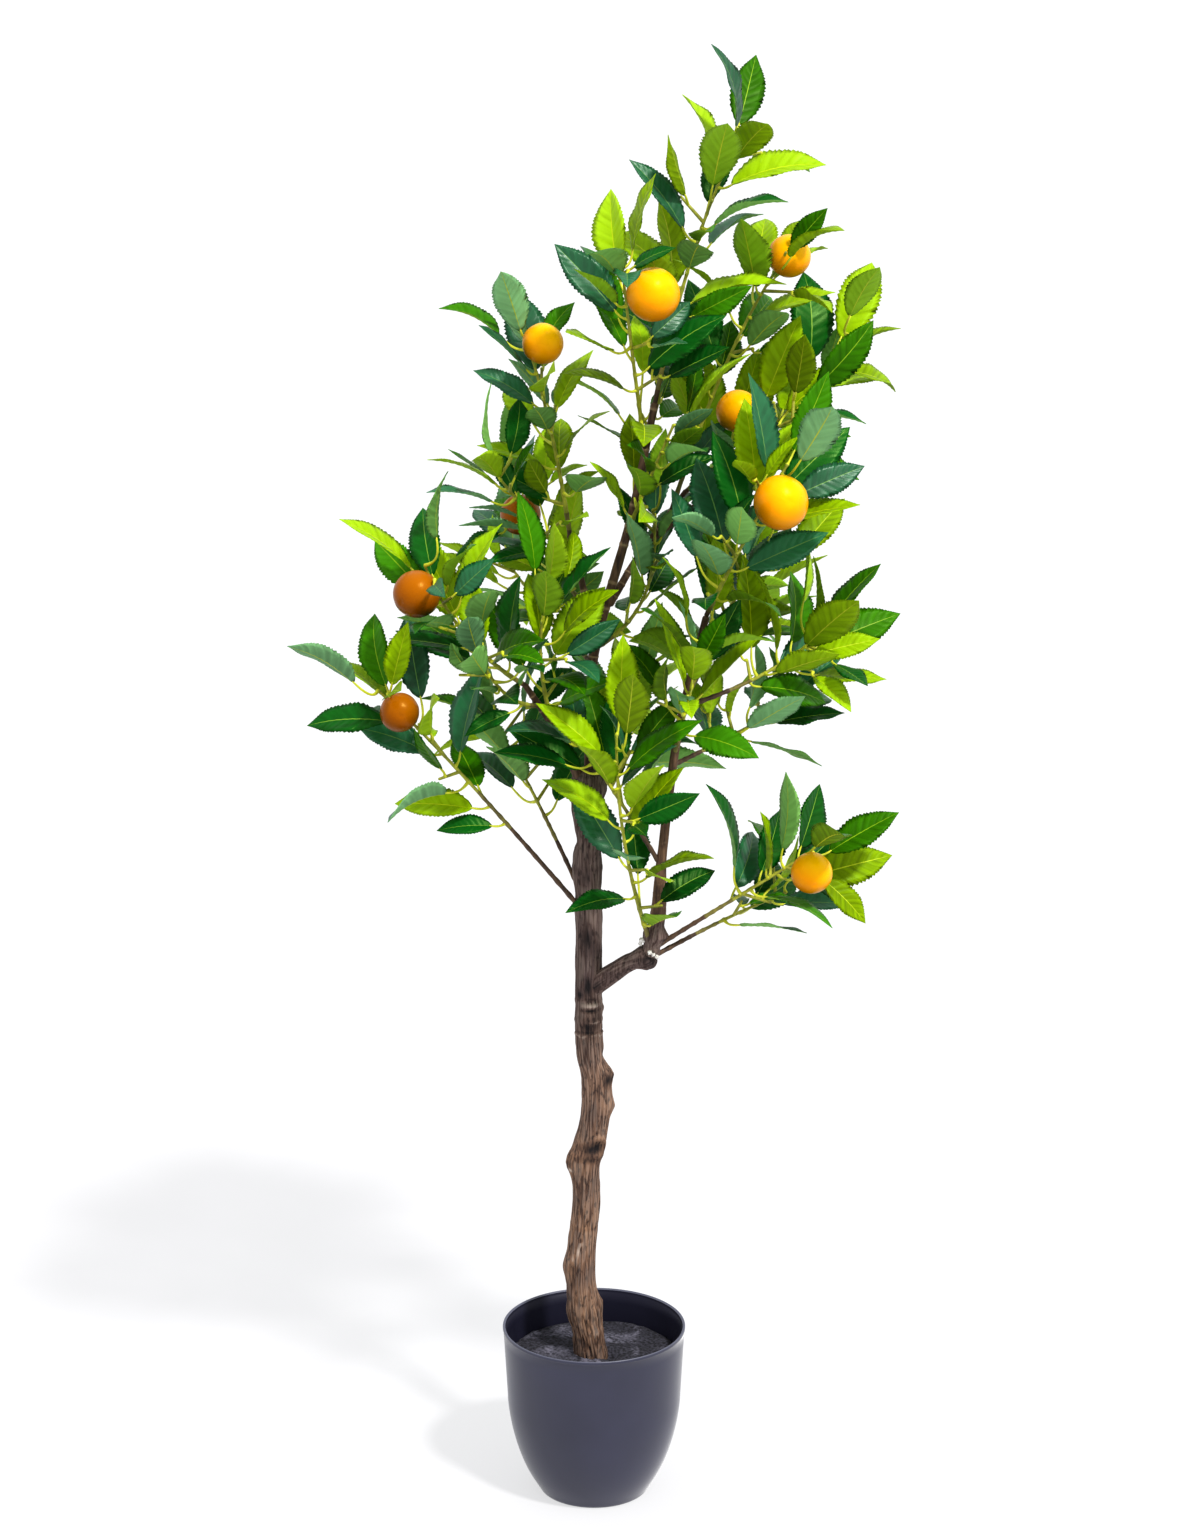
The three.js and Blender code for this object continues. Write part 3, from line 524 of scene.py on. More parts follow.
def curve(points, steps):
    """A smooth Catmull-Rom curve through points, as steps + 1 points spaced evenly in its parameter."""
    p = np.array(points, float)
    p = np.vstack([2 * p[0] - p[1], p, 2 * p[-1] - p[-2]])
    place = np.linspace(0, len(points) - 1, steps + 1)
    i = np.minimum(place.astype(int), len(points) - 2)
    f = (place - i)[:, None]
    a, b, c, d = p[i], p[i + 1], p[i + 2], p[i + 3]
    v0, v1 = (c - a) / 2, (d - b) / 2
    return (2 * b - 2 * c + v0 + v1) * f**3 + (3 * c - 3 * b - 2 * v0 - v1) * f**2 + v0 * f + b


def bezier(points, steps):
    """A Bezier curve of three or four points, as steps + 1 points."""
    t = np.linspace(0, 1, steps + 1)[:, None]
    layers = [np.array(p, float) for p in points]
    while len(layers) > 1:
        layers = [mix(a, b, t) for a, b in zip(layers, layers[1:])]
    return layers[0]


def rough(x, y, z):
    return noise.noise(Vector((x, y, z)))


def lumps(x, y, z, rows):
    return sum(high * rough(x / wide, y / wide, z / tall + place) for high, wide, tall, place in rows)


# Materials
def srgb(*values):
    """A colour as seen on a screen, from 0 to 255, as the shader's linear one."""
    shares = [v / 255 for v in values]
    return tuple(v / 12.92 if v <= 0.04045 else ((v + 0.055) / 1.055) ** 2.4 for v in shares) + (1.0,)


class Shader:
    """A material's nodes, with short calls for the ones that repeat."""

    def __init__(self, name):
        self.material = bpy.data.materials.new(name)
        self.material.use_nodes = True
        self.nodes = self.material.node_tree.nodes
        self.surface = self.nodes["Principled BSDF"]
        self.place = self.nodes.new("ShaderNodeTexCoord").outputs["Object"]

    def join(self, socket, value):
        """Sets an input, or links it where the value is another node's output."""
        if isinstance(value, bpy.types.NodeSocket):
            self.material.node_tree.links.new(value, socket)
        else:
            socket.default_value = value

    def node(self, kind, **values):
        node = self.nodes.new(kind)
        for name, value in values.items():
            self.join(node.inputs[name.replace("_", " ")], value)
        return node

    def set(self, **values):
        for name, value in values.items():
            self.join(self.surface.inputs[name.replace("_", " ")], value)

    def noise(self, scale, detail=4, stretch=(1, 1, 1), distortion=0.0):
        """Noise with a number of lumps a metre, stretched along the axes."""
        place = self.node("ShaderNodeMapping", Scale=stretch, Vector=self.place).outputs["Vector"]
        texture = self.node("ShaderNodeTexNoise", Vector=place, Scale=scale, Detail=detail,
                            Distortion=distortion)
        return texture.outputs["Fac"]

    def tone(self):
        node = self.node("ShaderNodeAttribute")
        node.attribute_name = "tone"
        return node.outputs["Fac"]

    def height(self):
        return self.node("ShaderNodeSeparateXYZ", Vector=self.place).outputs["Z"]

    def fit(self, value, low, high, to_low=0.0, to_high=1.0):
        """A value's place between two limits, from 0 to 1 or between two others."""
        node = self.node("ShaderNodeMapRange", Value=value, From_Min=low, From_Max=high,
                         To_Min=to_low, To_Max=to_high)
        return node.outputs["Result"]

    def blend(self, factor, a, b):
        """A colour between two, each a colour or another node's output."""
        node = self.node("ShaderNodeMix", Factor=factor)
        node.data_type = "RGBA"
        for socket, colour in zip((s for s in node.inputs if s.type == "RGBA"), (a, b)):
            self.join(socket, colour)
        return next(s for s in node.outputs if s.type == "RGBA")

    def bump(self, height, distance, strength=1.0):
        node = self.node("ShaderNodeBump", Height=height, Distance=distance * MM, Strength=strength)
        self.set(Normal=node.outputs["Normal"])


def pot_material(name, low, high, gloss, sheen=0.0):
    """Satin moulded plastic with a fine grain, faint uneven gloss and a haze at its edges."""
    shader = Shader(name)
    cloud = shader.noise(14, 3)
    shader.set(Base_Color=shader.blend(shader.fit(cloud, 0.35, 0.65), low, high),
               Roughness=shader.fit(cloud, 0.3, 0.7, 0.4, 0.5), Specular_IOR_Level=gloss,
               Sheen_Weight=sheen, Sheen_Roughness=0.35)
    shader.bump(shader.noise(1500, 2), 0.05, 0.35)
    return shader.material


def fill_material():
    """Rough cement with dark pores and lighter worn spots."""
    shader = Shader("fill_cement")
    grains = shader.noise(420, 6)
    patches = shader.noise(38, 4, distortion=0.6)
    base = shader.blend(shader.fit(grains, 0.38, 0.62), srgb(20, 19, 26), srgb(62, 61, 72))
    worn = shader.blend(shader.fit(grains, 0.35, 0.6), srgb(52, 51, 62), srgb(118, 116, 130))
    shader.set(Base_Color=shader.blend(shader.fit(patches, 0.5, 0.66), base, worn), Roughness=0.95)
    shader.bump(grains, 0.8, 0.9)
    return shader.material


def bark_material():
    """Bark in fine upright grooves, tan at the foot and greyer above, with painted shade in its grooves and
    hollows.
    """
    shader = Shader("bark")
    streaks = shader.noise(620, 5, (1, 1, 0.06), 0.2)
    patches = shader.noise(30, 4, (1, 1, 0.6))
    specks = shader.noise(380, 3, (1, 1, 0.4))
    tone = shader.tone()
    rise = shader.fit(shader.height(), 0.3, 0.46)
    colour = shader.blend(rise, srgb(150, 118, 94), srgb(110, 92, 87))
    shade = shader.blend(rise, srgb(102, 78, 66), srgb(78, 64, 64))
    for value, low, high, most, over in (
        (patches, 0.42, 0.68, 1, shade),
        (streaks, 0.56, 0.4, 0.8, srgb(64, 46, 40)),
        (specks, 0.55, 0.65, 0.75, srgb(44, 32, 30)),
        # Below 0 the tone darkens: painted shade in the grooves, hollows and under knobs, and dark eyes
        (tone, 0.0, -1.0, 1, srgb(24, 18, 20)),
        (tone, 0.0, 1.0, 1, srgb(216, 200, 186)),
    ):
        colour = shader.blend(shader.fit(value, low, high, 0, most), colour, over)
    shader.set(Base_Color=colour, Roughness=0.8, Specular_IOR_Level=0.35)
    shader.bump(streaks, 0.5, 0.9)
    return shader.material


def twig_material():
    """Smooth brown bark of boughs and thick stems, paler on the ring marks."""
    shader = Shader("twig_bark")
    streaks = shader.noise(330, 4, (1, 1, 0.2))
    base = shader.blend(shader.fit(streaks, 0.35, 0.65), srgb(64, 44, 36), srgb(118, 90, 70))
    shader.set(Base_Color=shader.blend(shader.fit(shader.tone(), 0, 1), base, srgb(188, 160, 128)),
               Roughness=0.6, Specular_IOR_Level=0.35)
    shader.bump(streaks, 0.3, 0.7)
    return shader.material


def scaled(colour, share):
    return tuple(c * share for c in colour[:3]) + (1.0,)


def paler(colour):
    """A colour two fifths brighter and a touch greyer."""
    middle = sum(colour[:3]) / 3
    return tuple(min(1.4 * mix(c, middle, 0.05), 1) for c in colour[:3]) + (1.0,)


def mottled(name, low, high, scale, roughness, grain, depth, stretch=(1, 1, 1), specular=0.5):
    """A surface that varies between two colours, with a fine grain."""
    shader = Shader(name)
    cloud = shader.noise(scale, stretch=stretch)
    shader.set(Base_Color=shader.blend(shader.fit(cloud, 0.3, 0.7), low, high),
               Roughness=shader.fit(cloud, 0.3, 0.7, roughness - 0.05, roughness + 0.07),
               Specular_IOR_Level=specular)
    shader.bump(shader.noise(grain, 3), depth, 0.6)
    return shader.material


def toned(name, colours, deep, pale, scale, roughness, gloss, tint, grain, depth):
    """A surface that varies between two colours, and by its tone from a deep one to a pale one."""
    shader = Shader(name)
    cloud = shader.fit(shader.noise(scale), 0.3, 0.7)
    tone = shader.tone()
    darker = shader.blend(shader.fit(tone, 0.0, -1.0), shader.blend(cloud, *colours), deep)
    shader.set(Base_Color=shader.blend(shader.fit(tone, 0.0, 1.0), darker, pale),
               Roughness=shader.fit(cloud, 0, 1, *roughness), Specular_IOR_Level=gloss, Specular_Tint=tint)
    shader.bump(shader.noise(grain, 3), depth, 0.6)
    return shader.material


def peel_material(name, low, high, lit_colour, gloss, tint):
    """Orange peel: uneven in colour, with painted shade underneath and painted light on its lit side, and
    fine pores.
    """
    return toned(name, (low, high), scaled(low, 0.62), lit_colour, 40, (0.22, 0.33), gloss, tint, 1100, 0.16)


def leaf_side(name, colour, roughness, gloss, tint):
    """One side of a leaf. Its tone runs from darker and deeper to paler, and carries painted shade and light.
    """
    return toned(name, (scaled(colour, 0.85), scaled(colour, 1.15)), scaled(colour, 0.5), paler(colour),
                 90, (roughness - 0.05, roughness + 0.06), gloss, tint, 900, 0.12)


def midrib(name, low, high):
    return mottled(name, low, high, 60, 0.5, 900, 0.05, specular=0.3)


# The kinds of leaf: colours of the upper side, its midrib and the underside, then the upper side's gloss
# and the tint of the gloss on both
GREEN_GLOSS, BLUE_GLOSS = (0.6, 1, 0.3, 1), (0.9, 1, 0.92, 1)
LEAF_KINDS = {
    "dark": (srgb(0, 86, 18), srgb(134, 172, 56), srgb(120, 168, 90), 0.34, GREEN_GLOSS),
    "blue": (srgb(32, 102, 62), srgb(116, 158, 86), srgb(120, 168, 116), 0.55, BLUE_GLOSS),
    "fresh": (srgb(60, 122, 0), srgb(140, 176, 16), srgb(128, 166, 30), 0.16, GREEN_GLOSS),
    "light": (srgb(146, 180, 0), srgb(190, 206, 10), srgb(144, 176, 12), 0.16, GREEN_GLOSS),
}
KIND_NAMES = list(LEAF_KINDS)
# Veins are paler than dark leaves and darker than light ones
VEIN_SIGN = [1, 1, -1, -1]


def leaf_materials():
    """Four materials for each kind: upper side, its midrib, underside, and the midrib below."""
    made = []
    for name, (upper, rib, under, gloss, tint) in LEAF_KINDS.items():
        made += [
            leaf_side(f"leaf_{name}", upper, 0.38, gloss, tint),
            midrib(f"midrib_{name}", scaled(rib, 0.9), scaled(rib, 1.1)),
            leaf_side(f"leaf_{name}_under", under, 0.62, 0.2, tint),
            midrib(f"midrib_{name}_under", srgb(172, 182, 40), srgb(200, 204, 60)),
        ]
    return made


# Pot and fill
def pot_radius(height):
    if height >= POT_BELLY_HEIGHT:
        share = (height - POT_BELLY_HEIGHT) / (POT_HEIGHT - POT_BELLY_HEIGHT)
        return mix(POT_BELLY_RADIUS, POT_RIM_RADIUS, share)
    below = 1 - height / POT_BELLY_HEIGHT
    bulge = (1 - below**POT_CURVE) ** (1 / POT_CURVE)
    return mix(POT_FOOT_RADIUS, POT_BELLY_RADIUS, bulge) + POT_FLARE * exp(-height / POT_FLARE_HEIGHT)


def make_pot():
    rise = POT_BELLY_HEIGHT * np.linspace(0, 1, LOW_ROWS) ** LOW_CROWDING
    foot, lip_foot = pot_radius(0), POT_HEIGHT - LIP_HEIGHT
    body = [(foot - inwards, up) for inwards, up in FOOT_OUTLINE] + [(pot_radius(1), 1.0)]
    body += [(pot_radius(z), z) for z in rise[1:] if z > FOOT_ROUND]
    body += [(pot_radius(z), z) for z in np.linspace(POT_BELLY_HEIGHT, lip_foot, HIGH_ROWS)[1:]]
    lip = [(POT_RIM_RADIUS + LIP_PROUD * out, POT_HEIGHT - down) for out, down in LIP_OUTLINE]
    hollow = [(pot_radius(z) - np.interp(z, [FILL_LEVEL, POT_HEIGHT], [POT_WALL, RIM_WALL]), z)
              for z in np.linspace(lip_foot, POT_BELLY_HEIGHT, HIGH_ROWS)]
    above_floor = POT_FLOOR + FLOOR_ROUND[0]
    hollow += [(pot_radius(z) - POT_WALL, z) for z in rise[::-1] if above_floor < z < POT_BELLY_HEIGHT]
    hollow.append((pot_radius(POT_FLOOR) - POT_WALL - FLOOR_ROUND[1], POT_FLOOR))
    radii, levels = np.array(body + lip + hollow).T[..., None]
    turns = even_turns(POT_SIDES)
    points = np.stack(np.broadcast_arrays(radii * np.cos(turns), radii * np.sin(turns), levels), -1)
    rim, rim_end = len(body) + RIM_FROM, len(body) + len(lip) - RIM_BEFORE
    looks = np.select([np.arange(len(levels) - 1) < rim, np.arange(len(levels) - 1) < rim_end], [0, 1], 2)
    build = Build()
    add_rings(build, points.reshape(-1, 3), POT_SIDES, looks)
    pot = build.make("pot_body", "pot", [
        pot_material("pot_plastic", srgb(47, 48, 67), srgb(53, 54, 75), 0.6, 0.5),
        # The rim: paler than the body, as a painted highlight along its edge
        pot_material("pot_rim_painted_highlight", srgb(78, 80, 98), srgb(84, 86, 104), 0.9),
        # The inside: the same plastic painted darker, as painted shade
        pot_material("pot_inside_painted_shade", srgb(30, 30, 46), srgb(36, 36, 53), 0.2),
    ])
    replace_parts(pot, "pot")


def fill_height(x, y, from_wall):
    """The fill's surface is pitted and a little uneven, and rises round the trunk."""
    pit = PIT_DEPTH * max(0, rough(x / PIT_WIDTH, y / PIT_WIDTH, PIT_SEED) - PIT_FROM)
    aside, behind = np.array((x, y)) - LIMBS["trunk"][0][0][:2]
    mound = MOUND_HEIGHT * exp(-(aside**2 + behind**2) / MOUND_WIDTH**2)
    drop = DROP_HEIGHT * exp(-((from_wall / DROP_WIDTH) ** 2))
    aside, behind = (np.array((aside, behind)) - HOLLOW_PLACE) / HOLLOW_SIZE
    hollow = HOLLOW_DEPTH * exp(-(aside**2) - behind**2)
    return FILL_LEVEL - FILL_SINK + lumps(x, y, 0, FILL_LUMPS) - pit + mound - drop - hollow


def make_fill():
    edge = pot_radius(FILL_LEVEL) - POT_WALL - FILL_GAP
    points = []
    for radius in edge * np.arange(FILL_RINGS, 0, -1) / FILL_RINGS:
        for turn in even_turns(FILL_SIDES):
            x, y = radius * cos(turn), radius * sin(turn)
            points.append((x, y, fill_height(x, y, edge - radius)))
    base = [(x, y, FILL_LEVEL - FILL_DEPTH) for x, y, _ in points[:FILL_SIDES]]
    build = Build()
    add_rings(build, np.array(base + points), FILL_SIDES)
    fill = build.make("fill_surface", "fill", [fill_material()])
    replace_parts(fill, "pot_fill")
# Limbs
def limb_point(name, at):
    points = LIMBS[name][0]
    steps = 400
    return curve(points, steps)[round(at * steps)] if at not in (0, 1) else np.array(points[-int(at)], float)


def limb_radii(name, places):
    radii = LIMBS[name][1]
    return np.interp(np.asarray(places) * (len(radii) - 1), range(len(radii)), radii)


def trunk_knobs(height, turn):
    """How far the knobs stand out."""
    total = 0.0
    for level, degrees, size in TRUNK_KNOBS:
        round_it = apart(turn, degrees) / KNOB_SPREAD
        total += size * exp(-(((height - level) / KNOB_HEIGHT) ** 2) - round_it**2)
    return total


def apart(turn, degrees):
    """The angle between two directions round a limb, from -pi to pi."""
    angle = turn - radians(degrees)
    return atan2(sin(angle), cos(angle))


def bark_surface(height, turn, radius, marks, rings):
    """How far the bark stands out from a limb, and its tone: fine upright grooves, lumps and marks. The tone
    darkens the grooves as painted shade.
    """
    x, y = radius / GROOVE_GAP * cos(turn), radius / GROOVE_GAP * sin(turn)
    groove = exp(-((rough(x, y, height / GROOVE_RUN + 5) / GROOVE_WIDTH) ** 2))
    foot = exp(-(((height - FILL_LEVEL) / FOOT_FADE) ** 2))
    groove *= 1 + foot * lumps(x + 4.5, y, height, FOOT_BREAKS)
    relief = radius * (lumps(x, y, height, BARK_LUMPS) + foot * lumps(x, y, height, FOOT_LUMPS))
    relief -= (GROOVE_DEPTH[0] + GROOVE_DEPTH[1] * foot) * groove
    # Painted shade: the grooves are darkened, more so at the foot
    tone = BARK_TONE - (GROOVE_SHADE[0] + GROOVE_SHADE[1] * foot) * groove
    for level, degrees, tall, wide, middle, rim, mark_tone in marks:
        if abs(height - level) < MARK_REACH * tall:
            off = hypot((height - level) / tall, apart(turn, degrees) * radius / wide)
            inner = exp(-2 * off**2)
            relief += middle * inner + rim * exp(-(((off - MARK_RIM) / RIM_SPREAD) ** 2))
            tone += mark_tone * inner
    for level, size, wide, ring_tone in rings:
        near = exp(-(((height - level + 2.5 * rough(x / 3, y / 3, level)) / wide) ** 2))
        relief += size * near
        tone += ring_tone * near
    return relief, tone


def tube_turns(sides):
    """The directions of a tube's points round it. A tube starts at its back, and 0 is its right."""
    return even_turns(sides) + pi / 2


def limb_rings(name, steps):
    """The middles of the rings along a limb, their places from 0 to 1, and the radius at each."""
    places = np.linspace(0, 1, steps + 1)
    return curve(LIMBS[name][0], steps), places, limb_radii(name, places)


def limb_length(name):
    return np.linalg.norm(np.diff(LIMBS[name][0], axis=0), axis=1).sum()


def make_bark(name, materials, centres, radii, tones, look=0):
    """A limb's bark, from the radius and the tone at each point of its rings."""
    build = Build()
    tube(build, centres, radii, radii.shape[1], look, tones=tones)
    return build.make(f"{name}_bark", "bark", materials)


def make_trunk(look):
    centres, _, radii = limb_rings("trunk", TRUNK_STEPS)
    centres[0][2] -= TRUNK_ROOT
    surface = np.array([
        [(*bark_surface(z, turn, radius, TRUNK_MARKS, TRUNK_RINGS), trunk_knobs(z, turn))
         for turn in tube_turns(TRUNK_SIDES)]
        for radius, z in zip(radii, centres[:, 2])
    ])
    relief = surface[..., 0] + surface[..., 2]
    trunk = make_bark("trunk", [look], centres, radii[:, None] + relief, surface[..., 1])
    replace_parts(trunk, "trunk")


def make_bough(name, look):
    """A brown bough with ring marks where leaves once stood. It starts inside the limb it grows on."""
    length = limb_length(name)
    centres, places, radii = limb_rings(name, int(length / BOUGH_STEP))
    draw = Draw(len(name) * 31 + ord(name[0]))
    marks = np.cumsum([draw.between(0.5, 1.5) * RING_EVERY for _ in range(60)])
    surface = []
    for along, radius in zip(places * length, radii):
        ring = np.exp(-(((along - marks) / RING_LENGTH) ** 2)).sum()
        for turn in even_turns(BOUGH_SIDES):
            x, y = radius * cos(turn), radius * sin(turn)
            relief = RING_HEIGHT * ring + radius * lumps(x, y, along, BOUGH_LUMPS)
            surface.append((radius + relief, RING_TONE * ring))
    surface = np.array(surface).reshape(-1, BOUGH_SIDES, 2)
    bough = make_bark(name, [look], centres, surface[..., 0], surface[..., 1])
    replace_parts(bough, name)


def make_thick_bough(name, looks, bark_until, end_round, swell, marks, rings):
    """A bough that has the trunk's bark up to some way along, and is a brown twig from there."""
    length = limb_length(name)
    centres, places, radii = limb_rings(name, int(length / THICK_STEP))
    surface = np.array([
        [bark_surface(along, turn, radius, marks, rings) for turn in tube_turns(THICK_SIDES)]
        for along, radius in zip(places * length, radii)
    ])
    depth = np.interp(places, [0, bark_until, bark_until + BARK_FADE, 1], [1, 1, TWIG_RELIEF, TWIG_RELIEF])
    relief, tones = np.moveaxis(surface, -1, 0) * depth[:, None]
    radii = radii + np.interp(places * length, *zip(*swell))
    falls = np.clip(1 - (1 - places) * length / end_round, 0, MOST_ROUND)
    radii = (radii * np.sqrt(1 - falls**2))[:, None] + relief
    bough = make_bark(name, looks, centres, radii, tones, np.where(places[:-1] < bark_until, 0, 1))
    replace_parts(bough, name)


# Foliage: the rule of the solids
def stem_of(mass):
    return [limb_point(mass.limb, mass.at), np.array(mass.bend, float), np.array(mass.tip, float)]


def stem_point(stem, t):
    foot, bend, tip = stem
    return (1 - t) ** 2 * foot + 2 * t * (1 - t) * bend + t * t * tip


def stem_heading(stem, t):
    foot, bend, tip = stem
    return unit((1 - t) * (bend - foot) + t * (tip - bend))


Leaf = namedtuple("Leaf", "root foot out heading face side length wide arch fold light")
# What has grown on one mass
Grown = namedtuple("Grown", "mass stem leaves twigs")


def half_width(along):
    """Half width of a blade as a share of its widest, from its foot at 0 to its tip at 1."""
    along = np.clip(along, 0, 1)
    return (along / WIDEST_AT) ** FOOT_CURVE * ((1 - along) / (1 - WIDEST_AT)) ** TIP_CURVE


def blade_line(leaf, along):
    """The middle of a blade, and the direction that is up from it."""
    bent = (leaf.arch * along)[..., None]
    reach = np.sin(bent) / leaf.arch * leaf.length
    drop = (1 - np.cos(bent)) / leaf.arch * leaf.length
    middle = leaf.foot + reach * leaf.heading - drop * leaf.face
    return middle, np.cos(bent) * leaf.face + np.sin(bent) * leaf.heading


def blade_points(leaf, along, across):
    """Points of a blade, from foot to tip and from -1 to 1 across."""
    middle, up = blade_line(leaf, along)
    half = (leaf.length * leaf.wide * 0.5 * half_width(along))[..., None]
    across = across[..., None]
    return middle + across * half * cos(leaf.fold) * leaf.side + abs(across) * half * sin(leaf.fold) * up


def blade_samples(leaf):
    return blade_points(leaf, SAMPLE_ALONG, SAMPLE_ACROSS)


def stalk_samples(leaf):
    return mix(leaf.root, leaf.foot, STALK_SAMPLES[:, None])


class Space:
    """The points that leaves stay clear of, each with its gaps to its own mass and to others."""

    def __init__(self):
        self.points = np.empty((0, 3))
        self.gaps = np.empty((0, 2))
        self.owners = np.empty(0, int)

    def put(self, points, gaps, owner):
        self.points = np.vstack([self.points, points])
        self.gaps = np.vstack([self.gaps, np.tile(np.array(gaps, float), (len(points), 1))])
        self.owners = np.append(self.owners, np.full(len(points), owner))

    def meets(self, points, gaps, among):
        low, high = points.min(0) - WIDEST_GAP, points.max(0) + WIDEST_GAP
        near = among & ((self.points > low) & (self.points < high)).all(1)
        square_gaps = ((points[:, None] - self.points[near][None]) ** 2).sum(-1)
        return (square_gaps < gaps[near] ** 2).any()

    def fits(self, leaf, owner, share=1.0):
        own = self.owners == owner
        gaps = np.where(own, self.gaps[:, 0], self.gaps[:, 1]) * share
        if self.meets(blade_samples(leaf), gaps, np.ones(len(own), bool)):
            return False
        return not self.meets(stalk_samples(leaf), self.gaps[:, 1] * share, ~own & (self.owners != LIMB))

    def take(self, leaf, owner):
        self.put(blade_samples(leaf), BLADE_GAP, owner)
        self.put(stalk_samples(leaf), STALK_GAP, owner)


def space_of_frame():
    """Limbs, stems and fruit take their space before any leaf does."""
    space = Space()
    for name, (points, _) in LIMBS.items():
        steps = (len(points) - 1) * (TRUNK_SAMPLES if name == "trunk" else LIMB_SAMPLES)
        for point, radius in zip(curve(points, steps), limb_radii(name, np.linspace(0, 1, steps + 1))):
            space.put([point], (radius + LIMB_GAP, radius + LIMB_GAP), LIMB)
    for owner, mass in enumerate(MASSES):
        space.put(bezier(stem_of(mass), STEM_SAMPLES), STEM_GAP, owner)
        for _, centre, diameter in mass.fruit:
            keep = diameter / 2 + FRUIT_GAP
            space.put([centre], (keep, keep), owner)
    return space


def new_leaf(draw, root, axis, turn, lean, length, reach, light=False):
    first = square_to(BACK, axis)
    second = np.cross(axis, first)
    out = cos(turn) * first + sin(turn) * second
    heading = unit(cos(lean) * axis + sin(lean) * out + LIFT * UP)
    foot = root + reach * unit(out + PETIOLE_ALONG * heading)
    skyward = unit(FACE_ALONG * axis + FACE_UP * UP - FACE_FRONT * BACK)
    parallel = abs(skyward @ heading) >= FACE_PARALLEL
    level = -square_to(out, heading) if parallel else square_to(skyward, heading)
    roll = draw.between(*BLADE_ROLL)
    face = cos(roll) * level + sin(roll) * np.cross(heading, level)
    return Leaf(root, foot, out, heading, face, np.cross(heading, face), length,
                draw.between(*BLADE_WIDTH), draw.between(*BLADE_ARCH), draw.between(*BLADE_FOLD), light)


def grow_leaves(grown, owner, space):
    """The leaves that the solids have too. Each tries a few directions."""
    mass, stem = grown.mass, grown.stem
    draw = Draw(mass.seed)
    first_turn = draw.between(0, 2 * pi)
    for i in range(mass.leaves):
        share = i / (mass.leaves - 1)
        at = mix(mass.first, 1, share)
        root, axis = stem_point(stem, at), stem_heading(stem, at)
        light = draw.next() < mass.light
        length = mass.size * draw.between(*LENGTH_STRAY)
        stalk = SIDE_TWIG if i % SIDE_TWIG_EVERY == 1 else PETIOLE
        for attempt in range(TRIES):
            turn = first_turn + i * LEAF_TURN + draw.between(*TURN_STRAY) * (1 + TRY_WIDEN * attempt)
            lean = mix(OPEN_FOOT, OPEN_TIP, share) + draw.between(*LEAN_STRAY)
            lean *= LAST_LEAN if i == mass.leaves - 1 else 1
            reach = draw.between(*stalk)
            shrunk = length * (1 - TRY_SHRINK * attempt)
            leaf = new_leaf(draw, root, axis, turn, lean, shrunk, reach, light)
            if space.fits(leaf, owner):
                grown.leaves.append(leaf)
                space.take(leaf, owner)
                break


def within(points, low, high):
    return (points > low).all() and (points < high).all()


def grow_fine_twigs(grown, owner, space):
    """Short side twigs with smaller leaves, inside the reach of the mass's solid."""
    mass, stem = grown.mass, grown.stem
    draw = Draw(mass.fine + FINE_SEED)
    low, high = (np.array(corner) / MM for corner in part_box(mass.name))
    for i in range(FINE_TWIGS):
        at = mix(mass.first, 1, (i + draw.next()) / FINE_TWIGS)
        root, axis = stem_point(stem, at), stem_heading(stem, at)
        light = draw.next() < mass.light
        for _ in range(FINE_TRIES):
            turn = draw.between(0, 2 * pi)
            guide = new_leaf(draw, root, axis, turn, draw.between(*FINE_LEAN), 1, draw.between(*FINE_LENGTH))
            heading = unit(guide.foot - root)
            found = []
            for place, swing in FINE_LEAVES:
                size = mass.size * draw.between(*FINE_SIZE)
                lean = FINE_LEAN_LAST if place == 1 else draw.between(*FINE_LEAN_SIDE)
                leaf = new_leaf(draw, mix(root, guide.foot, place), heading, turn + swing, lean, size,
                                draw.between(*FINE_PETIOLE), light)
                near = within(blade_samples(leaf), low - FINE_BOX, high + FINE_BOX)
                if near and space.fits(leaf, owner, FINE_GAP):
                    found.append(leaf)
                    space.take(leaf, owner)
            if found:
                grown.leaves.extend(found)
                grown.twigs.append([root, mix(root, guide.foot, 0.5), guide.foot])
                break


def grow_low_leaves(grown, owner, space):
    """Single leaves low on a stem, where there is room for them."""
    draw = Draw(grown.mass.seed + LOW_SEED)
    for at, aim, length, light in LOW_LEAVES.get(grown.mass.name, []):
        root, axis = stem_point(grown.stem, at), stem_heading(grown.stem, at)
        aim = unit(np.array(aim, float))
        first = square_to(BACK, axis)
        turn = atan2(aim @ np.cross(axis, first), aim @ first)
        lean = np.arccos(aim @ axis)
        leaf = new_leaf(draw, root, axis, turn, lean, length, draw.between(*PETIOLE), light)
        if space.fits(leaf, owner, FINE_GAP):
            grown.leaves.append(leaf)
            space.take(leaf, owner)


# Foliage: its meshes
def blade_rows():
    """Places of the rows of points along a blade: two for each vein, and more between the veins."""
    first, last = END_ROWS
    rows = []
    for vein, end in zip(VEINS, np.append(VEINS[1:], LAST_VEIN_ROOM)):
        low, high = vein + VEIN_WIDTH / 2, end - VEIN_WIDTH / 2
        rows += [vein - VEIN_WIDTH / 2, *np.linspace(low, high, ROWS_BETWEEN_VEINS + 1)[:-1]]
    return np.array(first + rows + last)


ROWS = blade_rows()


